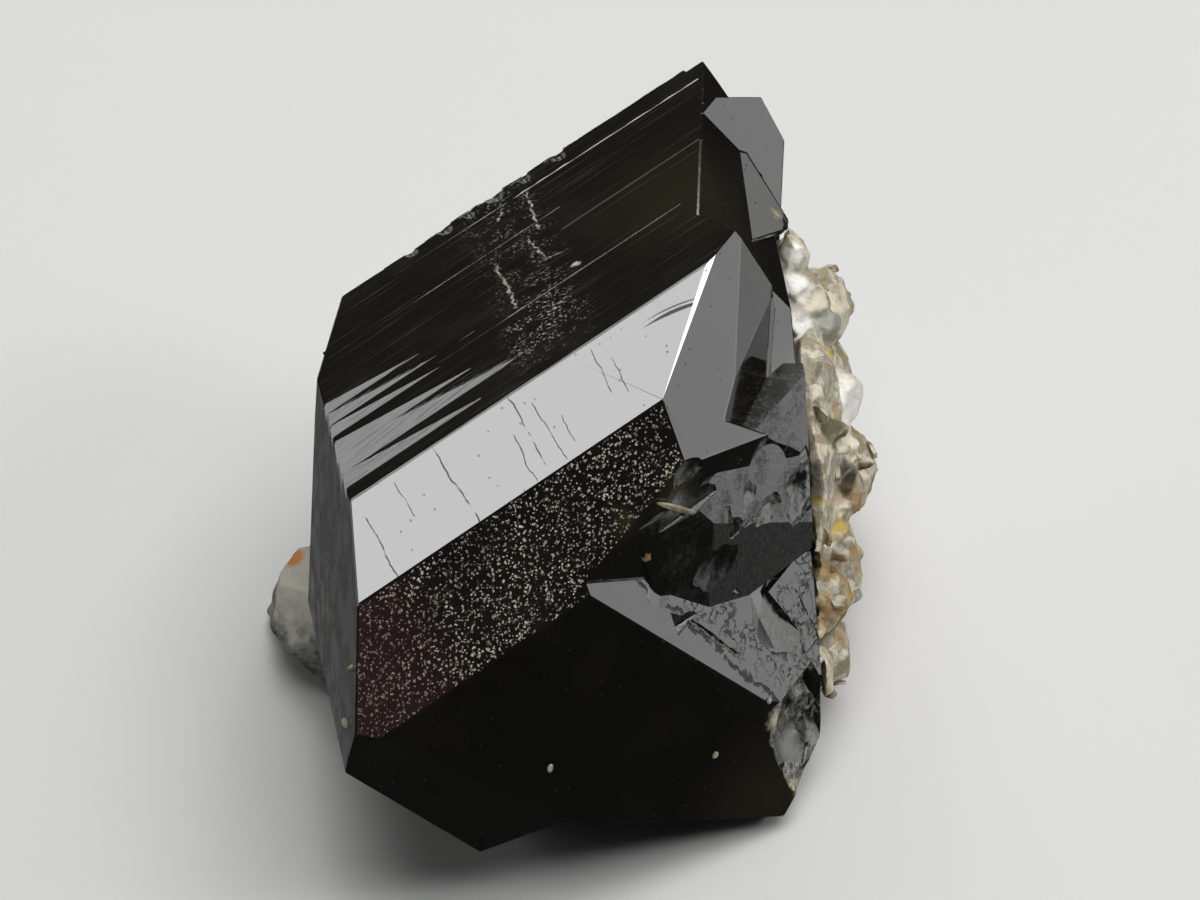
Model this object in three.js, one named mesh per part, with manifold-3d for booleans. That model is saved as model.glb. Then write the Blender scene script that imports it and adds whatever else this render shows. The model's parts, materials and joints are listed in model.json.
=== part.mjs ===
// Cassiterite crystal on a little of its mother rock: one intergrown group of glossy faces,
// a crust of quartz and mica down its right side, and one quartz grain at its lower left.
// Millimetres and degrees, +Z up. The front is -Y, and the group rests on its broken base.
import * as THREE from "three";
import { mergeVertices } from "three/addons/utils/BufferGeometryUtils.js";
import Module from "manifold-3d";

const wasm = await Module();
wasm.setup();

// The point inside the crystal from which every face distance is measured.
const HEART = new THREE.Vector3(-1, 6, 14);
const RAW_SIZE = 90; // edge of the block that each crystal is cleaved from
const GAP = 0.3; // clearance between the crystal and the rock that touches it

// The four long faces belong to one zone: their shared edges run along this axis.
const ZONE_BEARING = 125.6;
const ZONE_TILT = 10.8;
const STRIATED_TURN = -19.8;
const BRIGHT_TURN = 23;
const FROSTED_TURN = 62.2;
const MIRROR_TURN = 79.6;
const STRIATED_DISTANCE = 11.5;
const BRIGHT_DISTANCE = 12.65;
const FROSTED_DISTANCE = 10.4;
const MIRROR_DISTANCE = 9.6;

// The right end face is repeated at three levels, like the treads of a stair.
const END_BEARING = 58.6;
const END_TILT = 26.9;
const NOSE_LEVEL = 10.2;
const LEDGE_LEVEL = 7.4;
const CORNER_LEVEL = 2.8;

// Growth steps on the striated face: they run along the zone, each a little proud of the face.
const STEP_HEIGHT = 0.22;
const STEPS = [
  { along: [-1, 17.2], across: [8.2, 9.6] },
  { along: [-6.5, 7], across: [5.2, 5.9] },
  { along: [2.5, 14.5], across: [3.4, 4.4] },
  { along: [-3.5, 10.5], across: [-0.6, 0] },
  { along: [1, 10], across: [-3.6, -2.9] },
];

// Grooves at the left end of the striated face, which narrow to a point towards the right.
const GROOVE_SLOPE = 20; // how far a groove's floor leans towards the bright face
const GROOVE_START = -13;
const GROOVE_HEAD = 4; // height of the block that cuts a groove
const GROOVES = [
  { point: -3.4, across: [0.1, 1.9] },
  { point: -0.4, across: [-3.9, -1.2] },
];

// Shell-shaped fractures: spheres that scoop shallow bowls out of the broken right side.
const SCOOPS = [
  { at: [3.4, -0.5, 18.2], towards: [42.9, 3.6], radius: 5, depth: 0.45 },
  { at: [6.6, 2.5, 16.6], towards: [42.9, 3.6], radius: 5, depth: 0.5 },
  { at: [8, 4.7, 18.8], towards: [48.3, 2.4], radius: 4, depth: 0.4 },
  { at: [4.4, 0.6, 21.6], towards: [40, 10], radius: 3, depth: 0.4 },
  { at: [8.6, 2.8, 10.8], towards: [58.6, 26.9], radius: 9, depth: 0.3 },
  { at: [9.2, 0.4, 5], towards: [60, 8], radius: 4, depth: 0.4 },
  { at: [-9.4, 16.8, 16.4], towards: [-142, 12], radius: 16, depth: 0.9 },
  { at: [-3.2, 21, 12], towards: [-165, -5], radius: 13, depth: 1 },
  { at: [4.4, 22.4, 8], towards: [168, -14], radius: 12, depth: 0.9 },
  { at: [-7.6, 17.2, 6.6], towards: [-150, -30], radius: 9, depth: 0.6 },
];

// The crust: a flat core of rock, then its lumps from the top down, as [x, y, z, radius].
const CRUST_CORE = { centre: [10.2, 13.4, 9.4], reach: [1.9, 7.4, 7.6] };
const CRUST_LUMPS = [
  [8.9, 19.2, 18.2, 1.3],
  [9.5, 17.9, 16.2, 1.8],
  [10.1, 20.3, 13.8, 2.3],
  [10.9, 15.6, 12, 2],
  [10.1, 19.6, 9.4, 2.9],
  [10.9, 12.4, 9.2, 2.1],
  [10.7, 16, 6.6, 2.9],
  [10.5, 9.4, 8.8, 1.9],
  [10.7, 10.8, 5.2, 2.5],
  [10.4, 6.6, 7.2, 1.8],
  [10.3, 6.4, 3.8, 2.1],
  [9.9, 3.4, 5.4, 1.5],
  [10.3, 13, 2.6, 2.5],
  [9.7, 19.2, 4.2, 2.6],
  [9.1, 21.8, 6.6, 2],
];
const LUMP_JITTER = 0.16; // how far a lump's corners wander, as a share of its radius

// The quartz grain under the overhang at the left.
const GRAIN_CENTRE = new THREE.Vector3(-13.1, 9.2, 3.6);
const GRAIN_FACES = [
  [-90, 10, 3.1],
  [-45, 25, 2.9],
  [-60, -30, 3],
  [-120, 20, 3.2],
  [-20, -5, 3],
  [-75, 65, 3.2],
  [20, 50, 3.3],
  [150, 0, 3.6],
  [60, 10, 3.4],
  [-165, 40, 3.4],
];

const radians = THREE.MathUtils.degToRad;
const skyward = new THREE.Vector3(0, 0, 1);

// A unit vector: bearing 0 points to the front, 90 to the right; tilt is above level.
function direction(bearing, tilt) {
  const level = Math.cos(radians(tilt));
  return new THREE.Vector3(
    Math.sin(radians(bearing)) * level,
    -Math.cos(radians(bearing)) * level,
    Math.sin(radians(tilt)),
  );
}

const zoneAxis = direction(ZONE_BEARING, ZONE_TILT);
const zoneFront = zoneAxis.clone().cross(skyward).normalize();
const zoneTop = zoneFront.clone().cross(zoneAxis);

// A direction square to the zone axis, turned from its top towards the front.
function inZone(turn) {
  return zoneTop
    .clone()
    .multiplyScalar(Math.cos(radians(turn)))
    .addScaledVector(zoneFront, Math.sin(radians(turn)));
}

// A three.js geometry as a closed solid that can be joined and cut.
function solidOf(geometry) {
  geometry.deleteAttribute("normal");
  geometry.deleteAttribute("uv");
  const merged = mergeVertices(geometry, 1e-4);
  return new wasm.Manifold(
    new wasm.Mesh({
      numProp: 3,
      vertProperties: merged.attributes.position.array,
      triVerts: new Uint32Array(merged.index.array),
    }),
  );
}

function joined(solids) {
  return solids.reduce((sum, next) => sum.add(next));
}

function without(body, solids) {
  return solids.reduce((rest, next) => rest.subtract(next), body);
}

// All that lies beyond a face: a block whose near side is the face.
function beyond(normal, distance, centre = HEART) {
  const block = new THREE.BoxGeometry(2 * RAW_SIZE, 2 * RAW_SIZE, RAW_SIZE);
  block.translate(0, 0, RAW_SIZE / 2 + distance);
  block.applyQuaternion(new THREE.Quaternion().setFromUnitVectors(skyward, normal));
  block.translate(centre.x, centre.y, centre.z);
  return solidOf(block);
}

// A crystal cleaved out of a raw block: each entry is a face's direction and its distance.
function cleaved(faces, growth = 0, centre = HEART) {
  const raw = new THREE.BoxGeometry(RAW_SIZE, RAW_SIZE, RAW_SIZE);
  raw.translate(centre.x, centre.y, centre.z);
  const waste = faces.map(([normal, distance]) => beyond(normal, distance + growth, centre));
  return without(solidOf(raw), waste);
}

const striated = inZone(STRIATED_TURN);
const acrossStriated = striated.clone().cross(zoneAxis);
const end = direction(END_BEARING, END_TILT);
const intoGroup = end.clone().negate();

const longFaces = [
  [striated, STRIATED_DISTANCE],
  [inZone(BRIGHT_TURN), BRIGHT_DISTANCE],
  [inZone(FROSTED_TURN), FROSTED_DISTANCE],
  [inZone(MIRROR_TURN), MIRROR_DISTANCE],
];
const leftFaces = [
  [direction(-81.3, 7.2), 12.8],
  [direction(-82, 5), 12.65],
  [direction(-98.2, 2), 12.5],
  [direction(-142, 12), 14],
];
const overhang = [
  [direction(4.9, -16.8), 14.8],
  [direction(-69, -35.5), 13.1],
];
const outerFaces = [
  ...longFaces,
  ...leftFaces,
  ...overhang,
  [direction(150, 5), 21.1],
  [direction(168, -14), 17.5],
  [direction(-150, -30), 15],
  [direction(-16, -55.4), 13.55],
];
const riser = [direction(42.9, 3.6), 7.9];
const brokenSide = [direction(48.3, 2.4), 7.7];
const rightSide = [direction(98, 0), 11];
const upperRightSide = [direction(91.8, -6.3), 9.7];
const upperBack = [direction(-151, 20.6), 14.5];

// The main crystal, from the left end to the steep dark end and the ledge at the right.
const mainCrystal = [
  ...outerFaces,
  [end, LEDGE_LEVEL],
  [direction(94.7, 34.1), 12.5],
  [direction(44.3, 11.4), 9.85],
  [direction(76.4, -27.7), 16.2],
  rightSide,
];

// The foot below the frosted face, which hangs lower than the rest of the front.
const foot = [
  ...longFaces,
  ...leftFaces,
  ...overhang,
  [direction(47.6, -49.7), 11],
  [direction(90, 0), -0.5],
  [direction(180, 0), 8],
];

// The nose, which carries the clean right end face and stands proud of the ledge.
const nose = [
  ...outerFaces,
  [end, NOSE_LEVEL],
  [direction(69.1, 18), 9.65],
  [direction(69.9, 7.8), 8.3],
  [direction(83, 1), 8.6],
  [direction(136.5, 23), 12.9],
  riser,
  brokenSide,
  [intoGroup, -5],
];

// The broken shoulder to the right of the nose.
const shoulder = [
  ...outerFaces,
  [end, NOSE_LEVEL],
  riser,
  brokenSide,
  [direction(175, 33), 3],
  [direction(113.6, 15.2), 11],
  rightSide,
  [intoGroup, -5],
];

// The small tread behind the nose, between the steep dark end and the corner crystal.
const tread = [
  ...outerFaces,
  [direction(95, 49.5), 12.75],
  [direction(113.3, 21.6), 15.9],
  [direction(27.9, -41.5), -9.1],
  upperRightSide,
  [direction(-90, 0), -6],
];

// The corner crystal at the back, whose face is the lowest level of the right end.
const cornerCrystal = [
  ...outerFaces,
  [end, CORNER_LEVEL],
  upperBack,
  upperRightSide,
  [direction(-90, 0), -4],
  [direction(0, -90), 4],
];

// Moves a shape from the striated face's own frame (along the zone, across, outwards) to its place.
function laidOnStriated(shape) {
  shape.translate(0, 0, STRIATED_DISTANCE);
  shape.applyMatrix4(new THREE.Matrix4().makeBasis(zoneAxis, acrossStriated, striated));
  return shape.translate(HEART.x, HEART.y, HEART.z);
}

function barOnStriated(along, across, bottom, top) {
  const bar = new THREE.BoxGeometry(along[1] - along[0], across[1] - across[0], top - bottom);
  bar.translate((along[0] + along[1]) / 2, (across[0] + across[1]) / 2, (bottom + top) / 2);
  return solidOf(laidOnStriated(bar));
}

function growthSteps() {
  return STEPS.map(({ along, across }) => barOnStriated(along, across, -STEP_HEIGHT, STEP_HEIGHT));
}

// A groove's floor leans to the bright face, and its upper edge runs askew to its point.
function grooves() {
  return GROOVES.map(({ point, across }) => {
    const length = point - GROOVE_START;
    const askew = Math.atan2(across[1] - across[0], length);
    const block = new THREE.BoxGeometry(2 * length, GROOVE_HEAD, GROOVE_HEAD);
    block.translate(0, -GROOVE_HEAD / 2, GROOVE_HEAD / 2);
    block.rotateX(radians(GROOVE_SLOPE));
    block.rotateZ(-askew);
    block.translate(point, across[0], 0);
    const channel = barOnStriated([GROOVE_START, point], across, -GROOVE_HEAD, GROOVE_HEAD);
    return solidOf(laidOnStriated(block)).intersect(channel);
  });
}

function scoops() {
  return SCOOPS.map(({ at, towards, radius, depth }) => {
    const ball = new THREE.IcosahedronGeometry(radius, 5);
    const outward = direction(...towards).multiplyScalar(radius - depth);
    ball.translate(at[0] + outward.x, at[1] + outward.y, at[2] + outward.z);
    return solidOf(ball);
  });
}

const crystalBlocks = [mainCrystal, foot, nose, shoulder, tread, cornerCrystal];

// The whole crystal group standing on the ground; growth swells it by a clearance.
function crystalBody(growth = 0) {
  const blocks = joined(crystalBlocks.map((faces) => cleaved(faces, growth)));
  return blocks.subtract(beyond(direction(0, -90), HEART.z));
}

function finishedCrystal() {
  const body = crystalBody().add(joined(growthSteps()).intersect(cleaved(outerFaces, STEP_HEIGHT)));
  return without(body, [...grooves(), ...scoops()]);
}

// A steady stream of numbers from 0 to 1, the same on every run.
function randomStream(seed) {
  let state = seed;
  return () => {
    state = (state * 16807) % 2147483647;
    return state / 2147483647;
  };
}

// An angular lump of rock: a coarse ball whose corners are moved in and out.
function lump(centre, reach, random, detail) {
  const ball = mergeVertices(bareBall(detail), 1e-4);
  const corners = ball.attributes.position;
  const corner = new THREE.Vector3();
  for (let i = 0; i < corners.count; i += 1) {
    corner.fromBufferAttribute(corners, i);
    corner.multiplyScalar(1 + LUMP_JITTER * (2 * random() - 1));
    corners.setXYZ(i, corner.x, corner.y, corner.z);
  }
  ball.scale(...reach);
  ball.translate(...centre);
  return solidOf(ball);
}

function bareBall(detail) {
  const ball = new THREE.IcosahedronGeometry(1, detail);
  ball.deleteAttribute("normal");
  ball.deleteAttribute("uv");
  return ball;
}

// The crust follows the crystal's right side and keeps the gap to it.
function crust() {
  const random = randomStream(7);
  const core = lump(CRUST_CORE.centre, CRUST_CORE.reach, random, 3);
  const lumps = CRUST_LUMPS.map(([x, y, z, r]) => lump([x, y, z], [r, r, r], random, 1));
  const rock = joined([core, ...lumps]);
  return rock.subtract(crystalBody(GAP)).subtract(beyond(direction(0, -90), HEART.z));
}

function quartzGrain() {
  const faces = GRAIN_FACES.map(([bearing, tilt, distance]) => [direction(bearing, tilt), distance]);
  const block = cleaved([...faces, [direction(0, -90), GRAIN_CENTRE.z]], 0, GRAIN_CENTRE);
  return block.subtract(crystalBody(GAP));
}

// The largest piece of a solid: a cut can leave slivers that the real rock doesn't have.
function mainPiece(solid) {
  return solid.decompose().sort((a, b) => b.volume() - a.volume())[0];
}

function meshOf(solid, name, color, roughness) {
  const { vertProperties, triVerts } = mainPiece(solid).getMesh();
  const geometry = new THREE.BufferGeometry();
  geometry.setAttribute("position", new THREE.BufferAttribute(vertProperties, 3));
  geometry.setIndex(new THREE.BufferAttribute(triVerts, 1));
  const material = new THREE.MeshStandardMaterial({ color, roughness, metalness: 0 });
  const mesh = new THREE.Mesh(geometry, material);
  mesh.name = name;
  return mesh;
}

const group = new THREE.Group();
group.name = "cassiterite_specimen";
group.add(meshOf(finishedCrystal(), "cassiterite_crystal", 0x1b1712, 0.08));
group.add(meshOf(crust(), "quartz_mica_crust", 0xb9b29d, 0.6));
group.add(meshOf(quartzGrain(), "quartz_grain", 0x8f9088, 0.3));

// The part's origin is the middle of its footprint, on the ground.
const bounds = new THREE.Box3().setFromObject(group, true);
const middle = bounds.getCenter(new THREE.Vector3());
group.children.forEach((mesh) => mesh.position.set(-middle.x, -middle.y, -bounds.min.z));

export default group;
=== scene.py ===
"""A cassiterite crystal group with a little of its mother rock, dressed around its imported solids.

Sizes are in millimetres and degrees until a piece is finished, then in Blender's metres. The
front is -Y. A bearing is 0 to the front and 90 to the right; a tilt is above level.
"""

import functools
import json
import logging
import math
import random
from collections.abc import Callable, Iterator
from contextlib import contextmanager
from dataclasses import dataclass, field
from enum import Enum
from typing import Any

import bpy
from mathutils import Matrix, Vector

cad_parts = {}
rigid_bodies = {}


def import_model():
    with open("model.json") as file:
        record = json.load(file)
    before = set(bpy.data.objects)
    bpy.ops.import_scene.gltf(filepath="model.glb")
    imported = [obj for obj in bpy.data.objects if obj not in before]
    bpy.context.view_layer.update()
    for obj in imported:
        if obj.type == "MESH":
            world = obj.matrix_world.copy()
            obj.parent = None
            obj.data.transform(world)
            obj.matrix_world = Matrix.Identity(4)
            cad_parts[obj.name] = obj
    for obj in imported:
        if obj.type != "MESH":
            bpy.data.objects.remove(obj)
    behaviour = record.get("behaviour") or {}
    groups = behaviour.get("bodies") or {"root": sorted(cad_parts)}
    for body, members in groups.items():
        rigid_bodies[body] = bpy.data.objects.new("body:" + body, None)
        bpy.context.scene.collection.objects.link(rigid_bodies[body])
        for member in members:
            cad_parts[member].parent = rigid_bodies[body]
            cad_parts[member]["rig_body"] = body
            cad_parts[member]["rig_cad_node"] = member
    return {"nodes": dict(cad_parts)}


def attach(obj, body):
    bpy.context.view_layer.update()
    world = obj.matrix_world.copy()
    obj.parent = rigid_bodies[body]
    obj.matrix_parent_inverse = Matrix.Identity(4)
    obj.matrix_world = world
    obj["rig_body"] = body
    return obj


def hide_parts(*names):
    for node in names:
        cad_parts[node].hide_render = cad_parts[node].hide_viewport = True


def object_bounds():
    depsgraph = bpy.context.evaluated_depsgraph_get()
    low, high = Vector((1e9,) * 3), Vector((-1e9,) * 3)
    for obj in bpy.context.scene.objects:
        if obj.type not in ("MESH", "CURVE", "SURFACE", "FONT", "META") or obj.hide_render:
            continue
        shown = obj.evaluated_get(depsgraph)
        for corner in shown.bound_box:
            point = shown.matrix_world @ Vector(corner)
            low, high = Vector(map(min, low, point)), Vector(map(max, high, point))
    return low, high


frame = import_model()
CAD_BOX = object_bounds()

log = logging.getLogger("cassiterite")

MM = 0.001
Colour = tuple[float, float, float]
Point = tuple[float, float, float]


def direction(bearing: float, tilt: float) -> Vector:
    """A unit vector from a bearing and a tilt in degrees.

    Args:
        bearing: degrees round from the front towards the right.
        tilt: degrees above level.

    Returns:
        The unit vector.
    """
    level = math.cos(math.radians(tilt))
    return Vector(
        (
            math.sin(math.radians(bearing)) * level,
            -math.cos(math.radians(bearing)) * level,
            math.sin(math.radians(tilt)),
        )
    )


HEART = Vector((0.399, -1.283, 14.0))
ZONE = direction(125.6, 10.8)
ZONE_FRONT = ZONE.cross(Vector((0, 0, 1))).normalized()
ZONE_TOP = ZONE_FRONT.cross(ZONE)


@dataclass(frozen=True)
class LongFace:
    """One of the four long faces, which share the zone axis.

    Attributes:
        turn: degrees from the zone's top towards the front.
        distance: millimetres from the crystal's heart.
    """

    turn: float
    distance: float

    @property
    def outward(self) -> Vector:
        """The face's unit normal."""
        angle = math.radians(self.turn)
        return ZONE_TOP * math.cos(angle) + ZONE_FRONT * math.sin(angle)

    @property
    def across(self) -> Vector:
        """The unit vector that lies in the face, square to the zone, pointing up."""
        return self.outward.cross(ZONE)

    def place(self, along: float, across: float, height: float = 0.0) -> Vector:
        """A point given in the face's own frame.

        Args:
            along: millimetres along the zone from the heart.
            across: millimetres across the face from the heart.
            height: millimetres out of the face.

        Returns:
            The point in the part's frame, in millimetres.
        """
        out = self.outward * (self.distance + height)
        return HEART + ZONE * along + self.across * across + out


STRIATED = LongFace(-19.8, 11.5)
BRIGHT = LongFace(23.0, 12.65)
FROSTED = LongFace(62.2, 10.4)
MIRROR = LongFace(79.6, 9.6)
END = direction(58.6, 26.9)
END_DISTANCE = 10.2
GROOVE = direction(-54.0, 76.0)
LEDGE_DISTANCE = 7.4
RIGHT = direction(97.6, 0)
RIGHT_DISTANCE = 10.9
LEDGE_SIDE = Vector((0, 0, 1)).cross(END).normalized()
LEDGE_UP = END.cross(LEDGE_SIDE)


def meeting(*planes: tuple[Vector, float]) -> Vector:
    """The point where three planes meet.

    Args:
        planes: each plane's unit normal and its distance from the heart.

    Returns:
        The point, in millimetres.
    """
    normals = Matrix([normal for normal, _ in planes])
    return HEART + normals.inverted() @ Vector([distance for _, distance in planes])


class Bench:
    """The moves that all pieces share, each made with Blender's own operators."""

    @staticmethod
    def take(*pieces: bpy.types.Object) -> None:
        """Selects these objects alone and makes the first one active."""
        bpy.ops.object.select_all(action="DESELECT")
        for piece in pieces:
            piece.select_set(True)
        bpy.context.view_layer.objects.active = pieces[0]

    @staticmethod
    @contextmanager
    def editing(piece: bpy.types.Object) -> Iterator[None]:
        """Holds a piece in edit mode for the length of a with block."""
        Bench.take(piece)
        bpy.ops.object.mode_set(mode="EDIT")
        yield
        bpy.ops.object.mode_set(mode="OBJECT")

    @staticmethod
    def added(name: str) -> bpy.types.Object:
        """Names the primitive that was just added and returns it."""
        piece = bpy.context.active_object
        piece.name = name
        piece.data.name = name
        return piece

    @staticmethod
    def primitive(name: str, add: Callable[..., Any], **settings: Any) -> bpy.types.Object:
        """Adds a primitive with nothing else selected.

        Args:
            name: its name.
            add: the operator that adds it.
            settings: the operator's settings.

        Returns:
            The primitive.
        """
        bpy.ops.object.select_all(action="DESELECT")
        add(**settings)
        return Bench.added(name)

    @staticmethod
    @contextmanager
    def in_millimetres(piece: bpy.types.Object) -> Iterator[None]:
        """Holds a piece with its mesh in millimetres for the length of a with block."""
        piece.scale = (1 / MM,) * 3
        Bench.settle(piece)
        yield
        piece.scale = (MM,) * 3
        Bench.settle(piece)

    @staticmethod
    def thicken(sheet: bpy.types.Object, height: float) -> None:
        """Closes a smooth sheet into a body that reaches up from it."""
        with Bench.editing(sheet):
            bpy.ops.mesh.select_all(action="SELECT")
            bpy.ops.mesh.faces_shade_smooth()
            bpy.ops.mesh.extrude_region_move(TRANSFORM_OT_translate={"value": (0, 0, height)})
            bpy.ops.mesh.select_all(action="SELECT")
            bpy.ops.mesh.normals_make_consistent(inside=False)

    @staticmethod
    def copy_of_node(node: str, name: str) -> bpy.types.Object:
        """Copies a CAD node into a new piece whose triangles are merged into faces.

        Args:
            node: the CAD node's name.
            name: the new piece's name.

        Returns:
            The new piece.
        """
        Bench.take(frame["nodes"][node])
        bpy.ops.object.duplicate()
        piece = Bench.added(name)
        bpy.ops.object.parent_clear(type="CLEAR_KEEP_TRANSFORM")
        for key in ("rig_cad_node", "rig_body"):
            if key in piece:
                del piece[key]
        piece.data.materials.clear()
        with Bench.editing(piece):
            bpy.ops.mesh.select_all(action="SELECT")
            bpy.ops.mesh.remove_doubles(threshold=0.002 * MM)
            bpy.ops.mesh.dissolve_limited(angle_limit=math.radians(0.4))
        return piece

    @staticmethod
    def finish_with(piece: bpy.types.Object, kind: str, **settings: Any) -> None:
        """Adds a modifier, sets it and applies it.

        Args:
            piece: the object to change.
            kind: the modifier's type.
            settings: the modifier's properties.
        """
        Bench.take(piece)
        modifier = piece.modifiers.new(kind.lower(), kind)
        for name, value in settings.items():
            setattr(modifier, name, value)
        bpy.ops.object.modifier_apply(modifier=modifier.name)

    @staticmethod
    def discard(piece: bpy.types.Object) -> None:
        """Deletes a helper object."""
        Bench.take(piece)
        bpy.ops.object.delete()

    @staticmethod
    def settle(piece: bpy.types.Object) -> None:
        """Puts a piece's place into its mesh, so its object is at the origin, unturned."""
        Bench.take(piece)
        bpy.ops.object.transform_apply(location=True, rotation=True, scale=True)

    @staticmethod
    def combine(body: bpy.types.Object, other: bpy.types.Object, operation: str) -> None:
        """Takes a closed object out of a body, or grows it into the body, and deletes it.

        Args:
            body: the object that stays.
            other: the object that goes.
            operation: DIFFERENCE or UNION.
        """
        Bench.finish_with(
            body,
            "BOOLEAN",
            operation=operation,
            solver="EXACT",
            object=other,
            material_mode="TRANSFER",
        )
        Bench.discard(other)

    @staticmethod
    def cut(body: bpy.types.Object, cutter: bpy.types.Object) -> None:
        """Takes a closed cutter out of a body and deletes the cutter."""
        Bench.combine(body, cutter, "DIFFERENCE")

    @staticmethod
    def unite(body: bpy.types.Object, other: bpy.types.Object) -> None:
        """Grows another closed object into a body and deletes the other."""
        Bench.combine(body, other, "UNION")

    @staticmethod
    def slice(place: Vector, facing: Vector) -> None:
        """Cuts off what the edited mesh has beyond a plane, and closes the cut.

        Args:
            place: a point on the plane, in metres.
            facing: which way the part lies that goes.
        """
        bpy.ops.mesh.select_all(action="SELECT")
        bpy.ops.mesh.bisect(
            plane_co=tuple(place),
            plane_no=tuple(facing),
            use_fill=True,
            clear_outer=True,
            threshold=1e-7,
        )

    @staticmethod
    def smooth(piece: bpy.types.Object, angle: float) -> None:
        """Shades a piece smooth, apart from edges sharper than an angle in degrees."""
        Bench.take(piece)
        bpy.ops.object.shade_smooth_by_angle(angle=math.radians(angle))


class Pattern(Enum):
    """The kinds of relief that roughen a surface."""

    GRAINY = "CLOUDS"
    CELLS = "VORONOI"
    RIPPLES = "WOOD"
    BOWL = "BLEND"


@dataclass(frozen=True)
class Relief:
    """A pattern that pushes a mesh in and out.

    Attributes:
        pattern: the kind of relief.
        height: millimetres from its lowest to its highest.
        grain: size of its features in millimetres.
        stretch: how much longer the features are along x, y and z.
        origin: where the pattern starts, in the mesh's own millimetres.
    """

    pattern: Pattern
    height: float
    grain: float
    stretch: Point = (1, 1, 1)
    origin: Point = (0, 0, 0)

    def _texture(self) -> bpy.types.Texture:
        """The procedural texture that holds the pattern."""
        texture = bpy.data.textures.new(self.pattern.name.lower(), self.pattern.value)
        settings = {
            Pattern.GRAINY: {"noise_scale": 1.0, "noise_depth": 3},
            Pattern.CELLS: {"noise_scale": 1.0, "distance_metric": "DISTANCE"},
            Pattern.RIPPLES: {"wood_type": "RINGNOISE", "turbulence": 1.5, "noise_scale": 2.0},
            Pattern.BOWL: {"progression": "SPHERICAL", "use_color_ramp": True},
        }
        for name, value in settings[self.pattern].items():
            setattr(texture, name, value)
        if self.pattern is Pattern.BOWL:
            texture.color_ramp.interpolation = "EASE"
            for stop, value in zip(texture.color_ramp.elements, (0.0, 1.0), strict=True):
                stop.color = (value, value, value, 1)
        return texture

    def press(
        self, piece: bpy.types.Object, towards: str = "Z", group: str = "", middle: float = 0.5
    ) -> None:
        """Moves the piece's vertices by the pattern.

        Args:
            piece: a mesh whose units are millimetres.
            towards: the axis to move along, or NORMAL.
            group: a vertex group that limits the move, or nothing.
            middle: the pattern's value that leaves the mesh where it is.
        """
        bpy.ops.object.select_all(action="DESELECT")
        bpy.ops.object.empty_add(location=self.origin)
        guide = bpy.context.active_object
        guide.scale = [self.grain * s for s in self.stretch]
        bpy.context.view_layer.update()
        texture = self._texture()
        Bench.finish_with(
            piece,
            "DISPLACE",
            texture=texture,
            texture_coords="OBJECT",
            texture_coords_object=guide,
            strength=self.height,
            mid_level=middle,
            direction=towards,
            vertex_group=group,
        )
        bpy.data.textures.remove(texture)
        Bench.discard(guide)


@dataclass(frozen=True)
class Chisel:
    """A rough sheet with a body above it, which breaks a shallow piece off a crystal.

    Attributes:
        at: a point on the surface, in the part's millimetres.
        facing: bearing and tilt of the surface there.
        half: half the sheet's width and height.
        depth: how deep the break is at its middle.
        rise: how far the sheet's rim stands above the surface.
        cell: size of the sheet's faces.
        reliefs: the patterns of the broken surface.
        turn: degrees that the sheet is turned about its facing.
        finish: the name of the finish that the broken surface gets.
    """

    at: Point
    facing: tuple[float, float]
    half: tuple[float, float]
    depth: float
    rise: float
    cell: float
    reliefs: tuple[Relief, ...]
    turn: float = 0.0
    finish: str = "broken_face"

    REACH = 6.0

    def _frame(self) -> Matrix:
        """The sheet's place: its z looks out of the surface and its y upwards."""
        out = direction(*self.facing)
        side = Vector((0, 0, 1)).cross(out).normalized()
        turned = Matrix.Rotation(math.radians(self.turn), 4, out)
        basis = Matrix((side, out.cross(side), out)).transposed().to_4x4()
        return Matrix.Translation(Vector(self.at) * MM) @ turned @ basis @ Matrix.Scale(MM, 4)

    def cutter(self, finish: bpy.types.Material) -> bpy.types.Object:
        """Makes the cutter, whose underside is the broken surface.

        Args:
            finish: the material that the broken surface gets.

        Returns:
            A closed object in its place.
        """
        sheet = Bench.primitive(
            "chisel",
            bpy.ops.mesh.primitive_grid_add,
            x_subdivisions=round(2 * self.half[0] / self.cell),
            y_subdivisions=round(2 * self.half[1] / self.cell),
            size=2,
        )
        sheet.scale = (self.half[0], self.half[1], 1)
        sheet.location = (0, 0, self.rise)
        Bench.settle(sheet)
        bowl = Relief(Pattern.BOWL, -(self.depth + self.rise), 1, (*self.half, 1))
        bowl.press(sheet, middle=0.0)
        for relief in self.reliefs:
            relief.press(sheet)
        Bench.thicken(sheet, self.REACH)
        sheet.matrix_world = self._frame()
        Bench.settle(sheet)
        sheet.data.materials.append(finish)
        return sheet


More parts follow.
